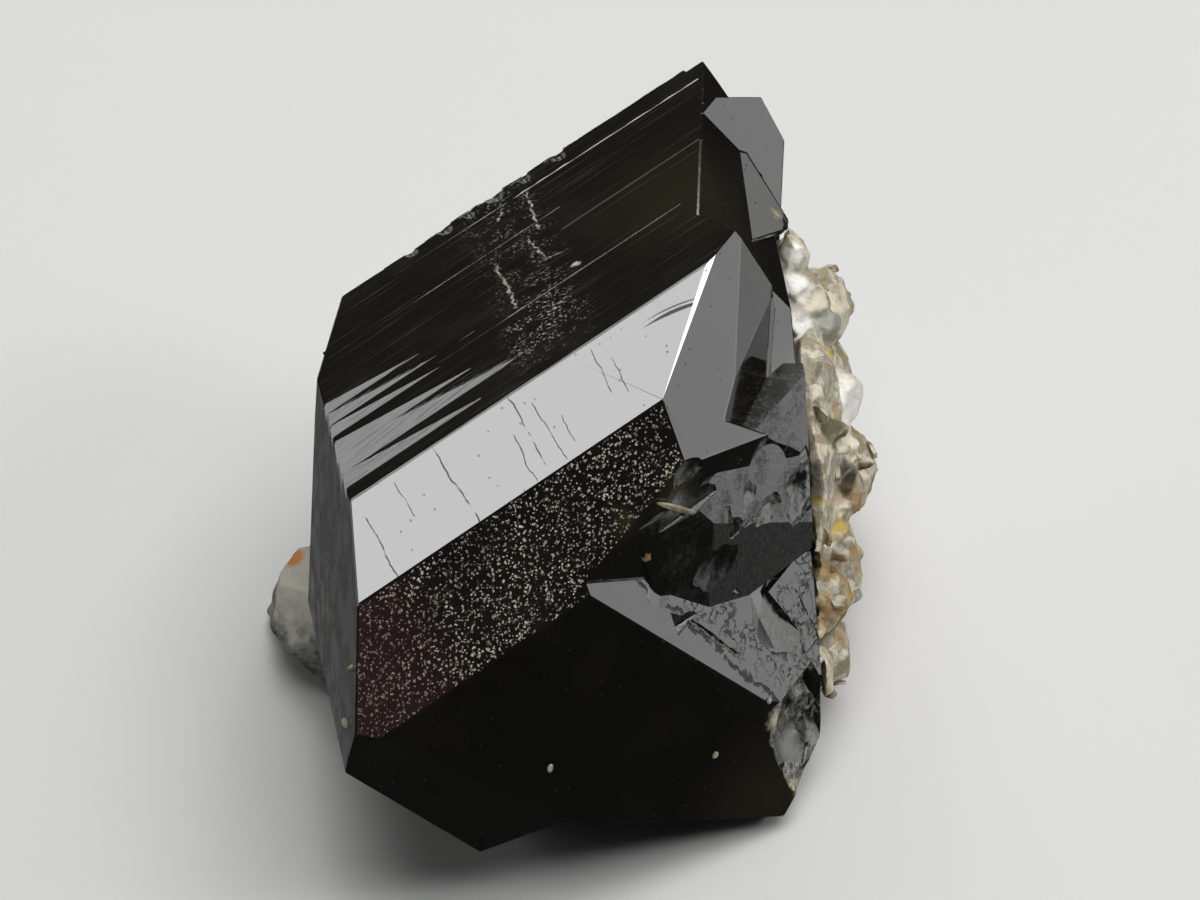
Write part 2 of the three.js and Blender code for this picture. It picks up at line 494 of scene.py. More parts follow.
class Wire:
    """A value or vector in a material, written in Python expressions."""

    def __init__(self, desk: "Desk", socket: bpy.types.NodeSocket) -> None:
        """Wraps an output socket of a desk's material."""
        self.desk = desk
        self.socket = socket

    def _math(self, operation: str, *values: "Wire | float") -> "Wire":
        """Adds a Math node for an operation on some values."""
        return self.desk.node("Math", {"operation": operation}, dict(enumerate(values)))

    def __add__(self, other: "Wire | float") -> "Wire":
        """The sum."""
        return self._math("ADD", self, other)

    def __radd__(self, other: float) -> "Wire":
        """The sum, from the right."""
        return self._math("ADD", other, self)

    def __sub__(self, other: "Wire | float") -> "Wire":
        """The difference."""
        return self._math("SUBTRACT", self, other)

    def __rsub__(self, other: float) -> "Wire":
        """The difference, from the right."""
        return self._math("SUBTRACT", other, self)

    def __mul__(self, other: "Wire | float") -> "Wire":
        """The product."""
        return self._math("MULTIPLY", self, other)

    def __rmul__(self, other: float) -> "Wire":
        """The product, from the right."""
        return self._math("MULTIPLY", other, self)

    def __truediv__(self, other: "Wire | float") -> "Wire":
        """The quotient."""
        return self._math("DIVIDE", self, other)

    def __pow__(self, other: float) -> "Wire":
        """The power."""
        return self._math("POWER", self, other)

    def __abs__(self) -> "Wire":
        """The size without the sign."""
        return self._math("ABSOLUTE", self)

    def highest(self, other: "Wire | float") -> "Wire":
        """The larger of two values."""
        return self._math("MAXIMUM", self, other)

    def lowest(self, other: "Wire | float") -> "Wire":
        """The smaller of two values."""
        return self._math("MINIMUM", self, other)

    def rises(self, low: float, high: float) -> "Wire":
        """A mask that is 0 up to low and 1 from high, smooth between; high may be below low."""
        sockets = {"Value": self, "From Min": low, "From Max": high}
        return self.desk.node("MapRange", {"interpolation_type": "SMOOTHSTEP"}, sockets)


class Desk:
    """A material on which nodes are laid out."""

    def __init__(self, name: str) -> None:
        """Starts an empty material with this name."""
        self.material = bpy.data.materials.new(name)
        self.material.use_nodes = True
        self.tree = self.material.node_tree
        self.tree.nodes.clear()

    def node(
        self,
        kind: str,
        settings: dict[str, Any] | None = None,
        sockets: dict[str | int, Any] | None = None,
        output: str | int = 0,
    ) -> Wire:
        """Adds a node.

        Args:
            kind: the node's type without its ShaderNode prefix.
            settings: its properties, set first.
            sockets: values or wires for its inputs, by name or number.
            output: which of its outputs to return.

        Returns:
            The output, as a wire.
        """
        made = self.tree.nodes.new("ShaderNode" + kind)
        for name, value in (settings or {}).items():
            setattr(made, name, value)
        for key, value in (sockets or {}).items():
            socket = made.inputs[key]
            if isinstance(value, Wire):
                self.tree.links.new(value.socket, socket)
            elif socket.type == "RGBA" and len(value) == 3:
                socket.default_value = (*value, 1)
            else:
                socket.default_value = value
        return Wire(self, made.outputs[output])

    def point(self) -> Wire:
        """The point on the piece, in millimetres."""
        place = self.node("TexCoord", output="Object")
        return self.scaled(place, 1 / MM)

    def scaled(self, vector: Wire, factor: float) -> Wire:
        """A vector times a number."""
        return self.node("VectorMath", {"operation": "SCALE"}, {0: vector, "Scale": factor})

    def added(self, vector: Wire, other: Wire | Point) -> Wire:
        """The sum of two vectors."""
        return self.node("VectorMath", {"operation": "ADD"}, {0: vector, 1: other})

    def along(self, vector: Wire, axis: Vector) -> Wire:
        """How far a point lies from the heart along an axis, in millimetres."""
        reach = self.node(
            "VectorMath", {"operation": "DOT_PRODUCT"}, {0: vector, 1: tuple(axis)}, "Value"
        )
        return reach - HEART.dot(axis)

    def flat(self, x: Wire, y: Wire) -> Wire:
        """A vector from two values, with no third."""
        return self.node("CombineXYZ", None, {0: x, 1: y})

    def noise(self, vector: Wire, size: float, detail: float = 3, rough: float = 0.5) -> Wire:
        """Soft noise from 0 to 1 whose features have a size in millimetres."""
        sockets = {"Vector": vector, "Scale": 1 / size, "Detail": detail, "Roughness": rough}
        return self.node("TexNoise", None, sockets)

    def warped(self, vector: Wire, size: float, amount: float) -> Wire:
        """A point pushed about by noise.

        Args:
            vector: the point.
            size: size of the noise's features.
            amount: how far the point moves at most.

        Returns:
            The pushed point.
        """
        sockets = {"Vector": vector, "Scale": 1 / size, "Detail": 2}
        push = self.node("TexNoise", None, sockets, "Color")
        centred = self.added(push, (-0.5, -0.5, -0.5))
        return self.added(vector, self.scaled(centred, 2 * amount))

    def cells(self, vector: Wire, size: float, output: str = "Distance") -> Wire:
        """Voronoi cells of a size in millimetres."""
        return self.node("TexVoronoi", None, {"Vector": vector, "Scale": 1 / size}, output)

    def red(self, colour: Wire) -> Wire:
        """A colour's first channel, as a number of its own for each cell."""
        return self.node("SeparateColor", None, {0: colour}, 0)

    def mix(self, mask: Wire | float, base: Wire | Colour, top: Wire | Colour) -> Wire:
        """Lays a colour over another where a mask is 1."""
        settings = {"data_type": "RGBA", "clamp_factor": True}
        return self.node("Mix", settings, {0: mask, 6: base, 7: top}, 2)

    def bump(self, height: Wire, depth: float) -> Wire:
        """A bumpy normal from a height of 0 to 1 and a depth in millimetres."""
        sockets = {"Height": height, "Strength": 1.0, "Distance": depth * MM}
        return self.node("Bump", None, sockets)

    def surface(self, **sockets: Any) -> bpy.types.Material:
        """Closes the material with a Principled shader.

        Args:
            sockets: the shader's inputs, with _ for each space.

        Returns:
            The finished material.
        """
        named = {key.replace("_", " "): value for key, value in sockets.items()}
        shader = self.node("BsdfPrincipled", None, named)
        output = self.tree.nodes.new("ShaderNodeOutputMaterial")
        self.tree.links.new(shader.socket, output.inputs["Surface"])
        return self.material


@dataclass(frozen=True)
class Stain:
    """A place with a colour laid over the colour below: a painted glow of light in the crystal, or
    a grain of dirt on it.

    Attributes:
        at: its middle, in the part's millimetres.
        radius: how far it reaches.
        colour: the colour at its middle.
        firm: how much of the radius has the full colour.
    """

    at: Point
    radius: float
    colour: Colour
    firm: float = 0.0

    def over(self, desk: Desk, point: Wire, colour: Wire) -> Wire:
        """Lays the stain over a colour.

        Args:
            desk: the material.
            point: the place on the piece.
            colour: the colour below.

        Returns:
            The colour with the stain.
        """
        sockets = {0: point, 1: self.at}
        away = desk.node("VectorMath", {"operation": "DISTANCE"}, sockets, "Value")
        return desk.mix(away.rises(self.radius, self.radius * self.firm), colour, self.colour)


# Painted glows: patches of light seen in the crystal, painted into its body colour.
PAINTED_GLOWS = (
    Stain((9.4, -9.4, 2.5), 6.0, (0.016, 0.0145, 0.008)),
    Stain((4.9, -7.2, 21.2), 2.0, (0.034, 0.031, 0.011)),
    Stain((10.2, 3.0, 17.6), 3.2, (0.05, 0.05, 0.038)),
    Stain((5.6, 7.0, 26.0), 6.5, (0.02, 0.018, 0.009)),
    Stain((2.6, -9.2, 21.4), 1.3, (0.03, 0.026, 0.01)),
)
DIRT = (
    Stain((3.51, -8.77, 18.66), 0.34, (0.34, 0.2, 0.08), 0.5),
    Stain((0.28, 3.49, 25.5), 0.3, (0.5, 0.48, 0.38), 0.3),
    Stain((9.73, -8.25, 6.78), 0.75, (0.5, 0.46, 0.32), 0.0),
    Stain((10.4, -8.1, 5.4), 0.6, (0.45, 0.38, 0.18), 0.0),
    Stain((11.05, -8.27, 2.13), 0.75, (0.4, 0.32, 0.06), 0.1),
    Stain((9.6, 11.0, 21.4), 0.7, (0.4, 0.27, 0.08), 0.3),
)


@dataclass(frozen=True)
class CrystalFinish:
    """A clean growth face: near-black brown, with the brilliant lustre of cassiterite.

    Attributes:
        name: the material's name.
        tint: the colour of the crystal's body.
        roughness: how dull the lustre is.
    """

    name: str
    tint: Colour = (0.0055, 0.005, 0.004)
    roughness: float = 0.07

    BRILLIANCE = 2.0

    def body(self, desk: Desk, point: Wire) -> Wire:
        """The crystal's own colour with its clouds, and the painted glows of light over it.

        Args:
            desk: the material.
            point: the place on the piece.

        Returns:
            The colour.
        """
        clouds = desk.noise(point, 5.0, 4).rises(0.48, 0.7)
        colour = desk.mix(clouds * 0.7, self.tint, tuple(1.9 * c for c in self.tint))
        cloudy = desk.warped(point, 1.6, 0.9)
        # Lays the painted glows of light over the body colour.
        for painted_glow in PAINTED_GLOWS:
            colour = painted_glow.over(desk, cloudy, colour)
        ragged = desk.warped(point, 0.3, 0.3)
        for grain in DIRT:
            colour = grain.over(desk, ragged, colour)
        return colour

    def cracks(
        self, desk: Desk, point: Wire, face: LongFace, hairlines: "tuple[Hairline, ...]"
    ) -> Wire:
        """A mask of the cracks that cross a long face.

        Args:
            desk: the material.
            point: the place on the piece.
            face: the long face.
            hairlines: its cracks.

        Returns:
            The mask.
        """
        along = desk.along(point, ZONE) + desk.noise(point, 1.1, 3) * 0.5 - 0.25
        across = desk.along(point, face.across)
        masks = [crack.mask(along, across) for crack in hairlines]
        return functools.reduce(Wire.highest, masks)

    def pits(self, desk: Desk, point: Wire) -> Wire:
        """A mask of scattered pinholes."""
        spread = desk.red(desk.cells(point, 0.5, "Color")).rises(0.55, 0.57)
        return desk.cells(point, 0.5).rises(0.12, 0.07) * spread

    def material(self) -> bpy.types.Material:
        """Builds the material."""
        desk = Desk(self.name)
        point = desk.point()
        pits = self.pits(desk, point)
        smear = desk.noise(point, 2.4, 5, 0.65)
        dull = smear.rises(0.5, 0.8) * 0.16 + self.roughness
        height = desk.noise(point, 0.7, 2) * 0.2 - pits
        return desk.surface(
            Base_Color=self.body(desk, point),
            Roughness=dull + pits * 0.4,
            IOR=self.BRILLIANCE,
            Normal=desk.bump(height, 0.004),
        )


@dataclass(frozen=True)
class Hairline:
    """A crack that crosses one of the long faces.

    Attributes:
        along: where it meets the zone axis, in the face's own frame.
        lean: millimetres along for each millimetre across.
        span: where it starts and ends, across the face.
        width: half its width.
    """

    along: float
    lean: float
    span: tuple[float, float]
    width: float = 0.035

    def mask(self, along: Wire, across: Wire) -> Wire:
        """A mask of the crack, from the place on its face."""
        low, high = self.span
        off = abs(along - across * self.lean - self.along)
        line = off.rises(2 * self.width, 0.4 * self.width)
        return line * across.rises(low - 0.1, low + 0.3) * across.rises(high + 0.1, high - 0.3)


@dataclass(frozen=True)
class BrightFinish(CrystalFinish):
    """The bright bevel, with its hairline cracks, a chipped arc and a few pits."""

    hairlines: tuple[Hairline, ...] = (
        Hairline(-7.45, 0.05, (-1.4, 3.4), 0.022),
        Hairline(-11.95, 0.16, (-1.4, 2.3), 0.018),
        Hairline(-3.4, 0.15, (-0.6, 3.4), 0.022),
        Hairline(-4.15, 0.2, (-1.0, 1.7), 0.014),
        Hairline(-2.5, 0.1, (-0.9, 2.5), 0.014),
        Hairline(-1.7, 0.2, (-0.3, 1.2), 0.012),
        Hairline(0.9, 0.22, (0.6, 3.0), 0.014),
        Hairline(1.7, 0.18, (0.2, 2.3), 0.012),
        Hairline(-9.9, 0.1, (0.9, 2.9), 0.012),
    )

    def arc(self, desk: Desk, point: Wire) -> Wire:
        """A mask of the dark arc that a chip left near the right end."""
        along = desk.along(point, ZONE)
        across = desk.along(point, BRIGHT.across)
        away = ((along - 4.2) ** 2 + (across + 6.6) ** 2) ** 0.5
        thick = abs(along - 5.9).rises(2.3, 0.2) * 0.1
        inner = (thick - abs(away - 8.98)).rises(0.0, 0.05)
        outer = (thick * 0.5 - abs(away - 9.2)).rises(0.0, 0.04)
        return inner.highest(outer * 0.7) * along.rises(3.5, 4.4)

    def material(self) -> bpy.types.Material:
        """Builds the material."""
        desk = Desk(self.name)
        point = desk.point()
        pits = self.pits(desk, point)
        cracks = self.cracks(desk, point, BRIGHT, self.hairlines)
        faint = desk.noise(point, 0.7, 3).rises(0.3, 0.6) * 0.6 + 0.25
        marks = (cracks * faint).highest(self.arc(desk, point))
        grime = desk.noise(point, 0.55, 6, 0.75).rises(0.5, 0.75)
        smear = desk.noise(point, 1.5, 6, 0.7).rises(0.45, 0.85)
        height = desk.noise(point, 0.5, 3) * 0.25 - pits - marks * 2.0
        worn = desk.along(point, ZONE).rises(-1.0, 7.0) * 0.1
        dull = smear * 0.14 + grime * 0.14 + worn + self.roughness + pits * 0.3 + marks * 0.6
        return desk.surface(
            Base_Color=desk.mix(marks, self.body(desk, point), (0.004, 0.004, 0.004)),
            Roughness=dull.lowest(0.9),
            IOR=self.BRILLIANCE,
            Normal=desk.bump(height, 0.006),
        )


@dataclass(frozen=True)
class EtchedFinish(CrystalFinish):
    """The frosted bevel, thick with etched specks, painted pale for the glints of light off them,
    that thin out at its left end.

    Attributes:
        speck: size of a speck's cell in millimetres.
        pale: the specks' colour.
        rust: the tint of the left end.
    """

    speck: float = 0.14
    # pale: the specks' colour, a painted highlight for the glints of light off them.
    pale: Colour = (0.62, 0.53, 0.4)
    rust: Colour = (0.03, 0.014, 0.013)

    def specks(self, desk: Desk, point: Wire, size: float) -> Wire:
        """A mask of specks of one size, some cells left empty."""
        pushed = desk.warped(point, 0.22, 0.08)
        present = desk.red(desk.cells(pushed, size, "Color")).rises(0.4, 0.46)
        worn = desk.noise(point, 0.09, 2).rises(0.4, 0.56)
        return desk.cells(pushed, size).rises(0.42, 0.22) * present * worn

    def material(self) -> bpy.types.Material:
        """Builds the material."""
        desk = Desk(self.name)
        point = desk.point()
        along = desk.along(point, ZONE)
        specks = self.specks(desk, point, self.speck)
        specks = specks.highest(self.specks(desk, point, self.speck * 1.7))
        clouds = desk.noise(point, 1.8, 4).rises(0.28, 0.6) * 0.75 + 0.25
        strength = along.rises(-17.5, -11.0) * 0.6 + 0.4
        # Painted highlight: the specks are laid pale where light glints off the etched pits.
        shown = specks * clouds * strength
        left = along.rises(-9.0, -15.5)
        base = desk.mix(left * 0.8, self.body(desk, point), self.rust)
        # The painted glint colour, redder at the left end.
        pale = desk.mix(left, self.pale, (0.45, 0.29, 0.25))
        return desk.surface(
            Base_Color=desk.mix(shown, base, pale),
            Roughness=specks * 0.35 + self.roughness,
            IOR=self.BRILLIANCE,
            Normal=desk.bump(specks + desk.noise(point, 0.1, 2) * 0.5, 0.015),
        )


@dataclass(frozen=True)
class StriatedFinish(CrystalFinish):
    """The striated top face: fine lines along the zone, pale cracks and a crazed patch.

    Attributes:
        streak: the colour of the pale lines.
        crack: the colour of what fills the cracks.
        relief: depth of the finest lines in millimetres.
        patch_at: where the flecked patch crosses the middle of the face.
        patch_lean: how far it leans along for each millimetre across.
        hairlines: the pale cracks.
    """

    streak: Colour = (0.1, 0.092, 0.075)
    crack: Colour = (0.4, 0.39, 0.3)
    relief: float = 0.012
    patch_at: float = 2.3
    patch_lean: float = 0.35
    hairlines: tuple[Hairline, ...] = (
        Hairline(1.27, 0.3, (-0.4, 3.9), 0.06),
        Hairline(3.44, 0.41, (4.5, 8.1), 0.05),
        Hairline(3.87, 0.16, (1.9, 4.4), 0.045),
        Hairline(9.74, -2.9, (1.6, 2.0), 0.16),
        Hairline(-3.98, 1.16, (7.1, 8.2), 0.08),
    )

    def lines(self, desk: Desk, point: Wire, width: float, length: float) -> Wire:
        """Noise drawn out along the zone, from 0 to 1."""
        along = desk.along(point, ZONE) / length
        across = desk.along(point, STRIATED.across) / width
        return desk.noise(desk.flat(along, across), 1.0, 3)

    def crazing(self, desk: Desk, point: Wire) -> Wire:
        """A mask of the pale cracks and flecks in the middle of the face."""
        along = desk.along(point, ZONE)
        across = desk.along(point, STRIATED.across)
        away = abs(along - across * self.patch_lean - self.patch_at)
        near = away.rises(3.0, 0.6) * across.rises(-6.2, -3.0)
        flecks = desk.noise(point, 0.17, 4, 0.7).rises(0.54, 0.64)
        clusters = desk.noise(point, 0.9, 3).rises(0.4, 0.56)
        broken = desk.noise(point, 0.24, 4, 0.7).rises(0.42, 0.54)
        cracks = self.cracks(desk, desk.warped(point, 0.5, 0.22), STRIATED, self.hairlines)
        lower = across.rises(0.4, -2.2) * 0.6 + 0.4
        return (cracks * broken).highest(flecks * clusters * near * lower)

    def material(self) -> bpy.types.Material:
        """Builds the material."""
        desk = Desk(self.name)
        point = desk.point()
        fine = self.lines(desk, point, 0.1, 6.0)
        broad = self.lines(desk, point, 0.5, 14.0)
        crazing = self.crazing(desk, point)
        scratches = fine.rises(0.52, 0.74) * broad.rises(0.36, 0.66)
        colour = desk.mix(scratches * 0.45, self.body(desk, point), self.streak)
        colour = desk.mix(crazing * 0.9, colour, self.crack)
        height = fine * 0.8 + broad * 1.6 + crazing
        return desk.surface(
            Base_Color=colour,
            Roughness=(scratches * 0.2 + crazing * 0.4 + self.roughness).lowest(0.8),
            IOR=self.BRILLIANCE,
            Normal=desk.bump(height, self.relief),
        )


@dataclass(frozen=True)
class LedgeFinish(CrystalFinish):
    """The ledge: smooth along its lower edge, and veined with dark cracks above a long one.

    Attributes:
        crack_at: how far the long crack lies from the middle of the crystal's zone.
        crack_lean: how far it leans aside for each millimetre up the ledge.
        crack: the colour inside the cracks.
    """

    crack_at: float = 5.34
    crack_lean: float = 0.424
    crack: Colour = (0.004, 0.004, 0.004)

    def cracked(self, desk: Desk, point: Wire) -> Wire:
        """A mask of the ledge's long crack and of the short ones beyond it.

        Args:
            desk: the material.
            point: the place on the piece.

        Returns:
            The mask.
        """
        up = desk.along(point, LEDGE_UP)
        place = desk.along(point, LEDGE_SIDE) + up * self.crack_lean + self.crack_at
        wander = desk.noise(point, 1.1, 4, 0.65) * 1.4 - 0.7
        beyond = place + wander
        long_crack = abs(beyond).rises(0.17, 0.05) * desk.noise(point, 0.6, 3).rises(0.36, 0.5)
        veins = abs(desk.noise(point, 0.6, 4, 0.6) - 0.5).rises(0.03, 0.012)
        patchy = desk.noise(point, 1.3, 3).rises(0.42, 0.58)
        return long_crack.highest(veins * patchy * beyond.rises(0.1, 1.0))

    def material(self) -> bpy.types.Material:
        """Builds the material."""
        desk = Desk(self.name)
        point = desk.point()
        cracked = self.cracked(desk, point)
        smear = desk.noise(point, 0.8, 5, 0.7)
        height = desk.noise(point, 0.4, 4, 0.7) * 0.2 - cracked
        return desk.surface(
            Base_Color=desk.mix(cracked, self.body(desk, point), self.crack),
            Roughness=smear.rises(0.4, 0.8) * 0.16 + self.roughness + cracked * 0.6,
            IOR=self.BRILLIANCE,
            Normal=desk.bump(height, 0.02),
        )


@dataclass(frozen=True)
class BrokenFinish(CrystalFinish):
    """A fracture: the crystal without its growth faces, greyer and duller.

    Attributes:
        dust: the colour of its crushed grains.
        grit: depth of its grain in millimetres.
    """

    dust: Colour = (0.17, 0.17, 0.145)
    grit: float = 0.02

    def material(self) -> bpy.types.Material:
        """Builds the material."""
        desk = Desk(self.name)
        point = desk.point()
        grit = desk.noise(point, 0.3, 5, 0.7)
        patches = desk.noise(point, 1.5, 4).rises(0.38, 0.66)
        dusty = grit.rises(0.42, 0.64) * patches
        return desk.surface(
            Base_Color=desk.mix(dusty, self.body(desk, point), self.dust),
            Roughness=dusty * 0.35 + patches * 0.1 + self.roughness,
            IOR=self.BRILLIANCE,
            Normal=desk.bump(grit, self.grit),
        )


class Tone(Enum):
    """The colours of the rock."""

    WHITE = (0.9, 0.89, 0.84)
    CREAM = (0.68, 0.62, 0.48)
    GREY = (0.3, 0.3, 0.26)
    TAN = (0.34, 0.24, 0.11)
    YELLOW = (0.5, 0.37, 0.1)
    OLIVE = (0.09, 0.085, 0.035)
    DARK = (0.035, 0.033, 0.026)


@dataclass(frozen=True)
class Lump:
    """A single grain of the rock.

    Attributes:
        at: its middle, in the part's millimetres.
        radius: its radius.
        tone: its colour.
        stretch: how much longer it is along x, y and z.
    """

    at: Point
    radius: float
    tone: Tone
    stretch: Point = (1, 1, 1)


LUMPS = (
    Lump((10.6, 11.2, 19.0), 0.7, Tone.WHITE, (0.7, 0.8, 1.9)),
    Lump((10.8, 10.2, 17.6), 0.85, Tone.WHITE),
    Lump((11.0, 9.2, 16.3), 0.85, Tone.WHITE),
    Lump((11.2, 7.9, 15.7), 0.7, Tone.WHITE, (0.8, 1, 1.5)),
    Lump((12.2, 9.7, 15.8), 1.05, Tone.GREY),
    Lump((12.1, 9.9, 16.9), 0.45, Tone.CREAM),
    Lump((12.4, 7.8, 15.4), 0.4, Tone.YELLOW),
    Lump((12.3, 8.4, 14.3), 0.7, Tone.CREAM),
    Lump((13.0, 7.2, 13.0), 1.45, Tone.WHITE),
    Lump((12.2, 6.4, 14.2), 0.9, Tone.WHITE),
    Lump((12.5, 3.1, 14.8), 0.85, Tone.OLIVE, (1.2, 1, 0.5)),
    Lump((12.8, 2.8, 14.0), 0.45, Tone.CREAM, (1.6, 1, 0.6)),
    Lump((12.3, 2.0, 14.0), 0.45, Tone.GREY),
    Lump((13.2, 5.2, 11.6), 0.9, Tone.CREAM, (1.2, 1, 0.6)),
    Lump((13.2, 3.7, 11.0), 0.95, Tone.DARK),
    Lump((14.2, 4.6, 11.2), 0.4, Tone.DARK, (1.5, 0.8, 1.1)),
    Lump((12.9, 2.3, 10.6), 0.6, Tone.CREAM, (1.3, 1, 0.7)),
    Lump((12.0, 0.4, 12.8), 0.4, Tone.YELLOW),
    Lump((12.8, 1.3, 9.9), 0.65, Tone.YELLOW),
    Lump((12.6, 0.6, 9.5), 0.3, Tone.DARK),
    Lump((13.0, 0.5, 9.1), 0.5, Tone.GREY),
    Lump((12.1, -0.6, 9.0), 0.55, Tone.TAN),
    Lump((12.7, 0.0, 8.2), 0.4, Tone.DARK),
    Lump((12.1, -1.8, 8.3), 0.5, Tone.TAN),
    Lump((12.0, -3.1, 7.6), 0.5, Tone.TAN, (0.9, 1.6, 1)),
    Lump((11.85, -4.3, 7.1), 0.38, Tone.CREAM, (0.8, 2.0, 1)),
)


@dataclass(frozen=True)
class RockFinish:
    """Quartz rock with mica, each large lump in its own tone, stained yellow and brown.

    Attributes:
        name: the material's name.
        rust: the iron stain.
        reach: how far a lump's tone reaches, as a share of its radius.
    """

    name: str
    rust: Colour = (0.33, 0.2, 0.055)
    reach: float = 1.35

    def _tones(self, desk: Desk, point: Wire) -> Wire:
        """The rock's tones: at random between the lumps, and the lumps' own."""
        pushed = desk.warped(desk.warped(point, 1.2, 0.3), 0.35, 0.16)
        grains = desk.red(desk.cells(pushed, 0.9, "Color"))
        cloudy = grains * 0.25 + desk.noise(point, 0.7, 6, 0.75) * 0.75
        colour = desk.mix(cloudy.rises(0.4, 0.58), Tone.CREAM.value, Tone.GREY.value)
        colour = desk.mix(cloudy.rises(0.5, 0.66) * 0.8, colour, Tone.TAN.value)
        for lump in LUMPS:
            reach = lump.radius * self.reach
            colour = Stain(lump.at, reach, lump.tone.value, 0.55).over(desk, pushed, colour)
        return colour

    def material(self) -> bpy.types.Material:
        """Builds the material."""
        desk = Desk(self.name)
        point = desk.point()
        mottle = desk.noise(point, 0.5, 4, 0.65)
        pores = desk.noise(point, 0.22, 3, 0.6)
        colour = desk.mix(mottle.rises(0.55, 0.8) * 0.45, self._tones(desk, point), self.rust)
        height = desk.along(point, Vector((0, 0, 1)))
        low = height.rises(-1.0, -6.5)
        stain = desk.noise(point, 1.6, 4).rises(0.46, 0.66) * (low * 0.65 + 0.25)
        colour = desk.mix(stain, colour, self.rust)
        colour = desk.mix(pores.rises(0.6, 0.72) * (low * 0.3 + 0.5), colour, Tone.DARK.value)
        return desk.surface(
            Base_Color=colour,
            Roughness=0.25 + mottle * 0.4,
            IOR=1.54,
            Normal=desk.bump(mottle + pores * 0.5, 0.06),
        )


@dataclass(frozen=True)
class QuartzFinish:
    """The quartz grain: grey and glassy, with a painted cream highlight on its top, and a spot of
    rust.
    """

    name: str

    def material(self) -> bpy.types.Material:
        """Builds the material."""
        desk = Desk(self.name)
        point = desk.point()
        mottle = desk.noise(point, 1.1, 5, 0.65)
        height = desk.along(point, Vector((0, 0, 1)))
        colour = desk.mix(mottle.rises(0.4, 0.65), (0.075, 0.078, 0.07), (0.3, 0.3, 0.27))
        # Painted highlight: the grain's top is laid cream where the light falls on it.
        painted_top_highlight = (height + mottle * 3).rises(-9.2, -7.2)
        colour = desk.mix(painted_top_highlight * 0.8, colour, (0.52, 0.5, 0.42))
        colour = Stain((-13.7, 2.9, 6.4), 0.75, (0.5, 0.2, 0.04), 0.4).over(desk, point, colour)
        return desk.surface(
            Base_Color=colour,
            Roughness=0.16 + mottle * 0.3,
            IOR=1.54,
            Normal=desk.bump(mottle, 0.06),
        )


@dataclass(frozen=True)
class FlakeFinish:
    """Mica: silvery brown, with a pearly sheen."""

    name: str

    def material(self) -> bpy.types.Material:
        """Builds the material."""
        desk = Desk(self.name)
        point = desk.point()
        mottle = desk.noise(point, 0.6, 3)
        return desk.surface(
            Base_Color=desk.mix(mottle.rises(0.4, 0.6), (0.2, 0.16, 0.09), (0.5, 0.46, 0.36)),
            Roughness=0.2 + mottle * 0.2,
            IOR=1.6,
        )


@dataclass(frozen=True)
class Strip:
    """A strip of the striated face that stands higher or lower than the rest.

    Attributes:
        along: its reach along the zone.
        across: its reach across the face.
        height: how much higher it stands.
    """

    along: tuple[float, float]
    across: tuple[float, float]
    height: float

    def holds(self, x: float, y: float) -> bool:
        """Says whether a place on the face is in the strip."""
        return self.along[0] <= x <= self.along[1] and self.across[0] <= y <= self.across[1]


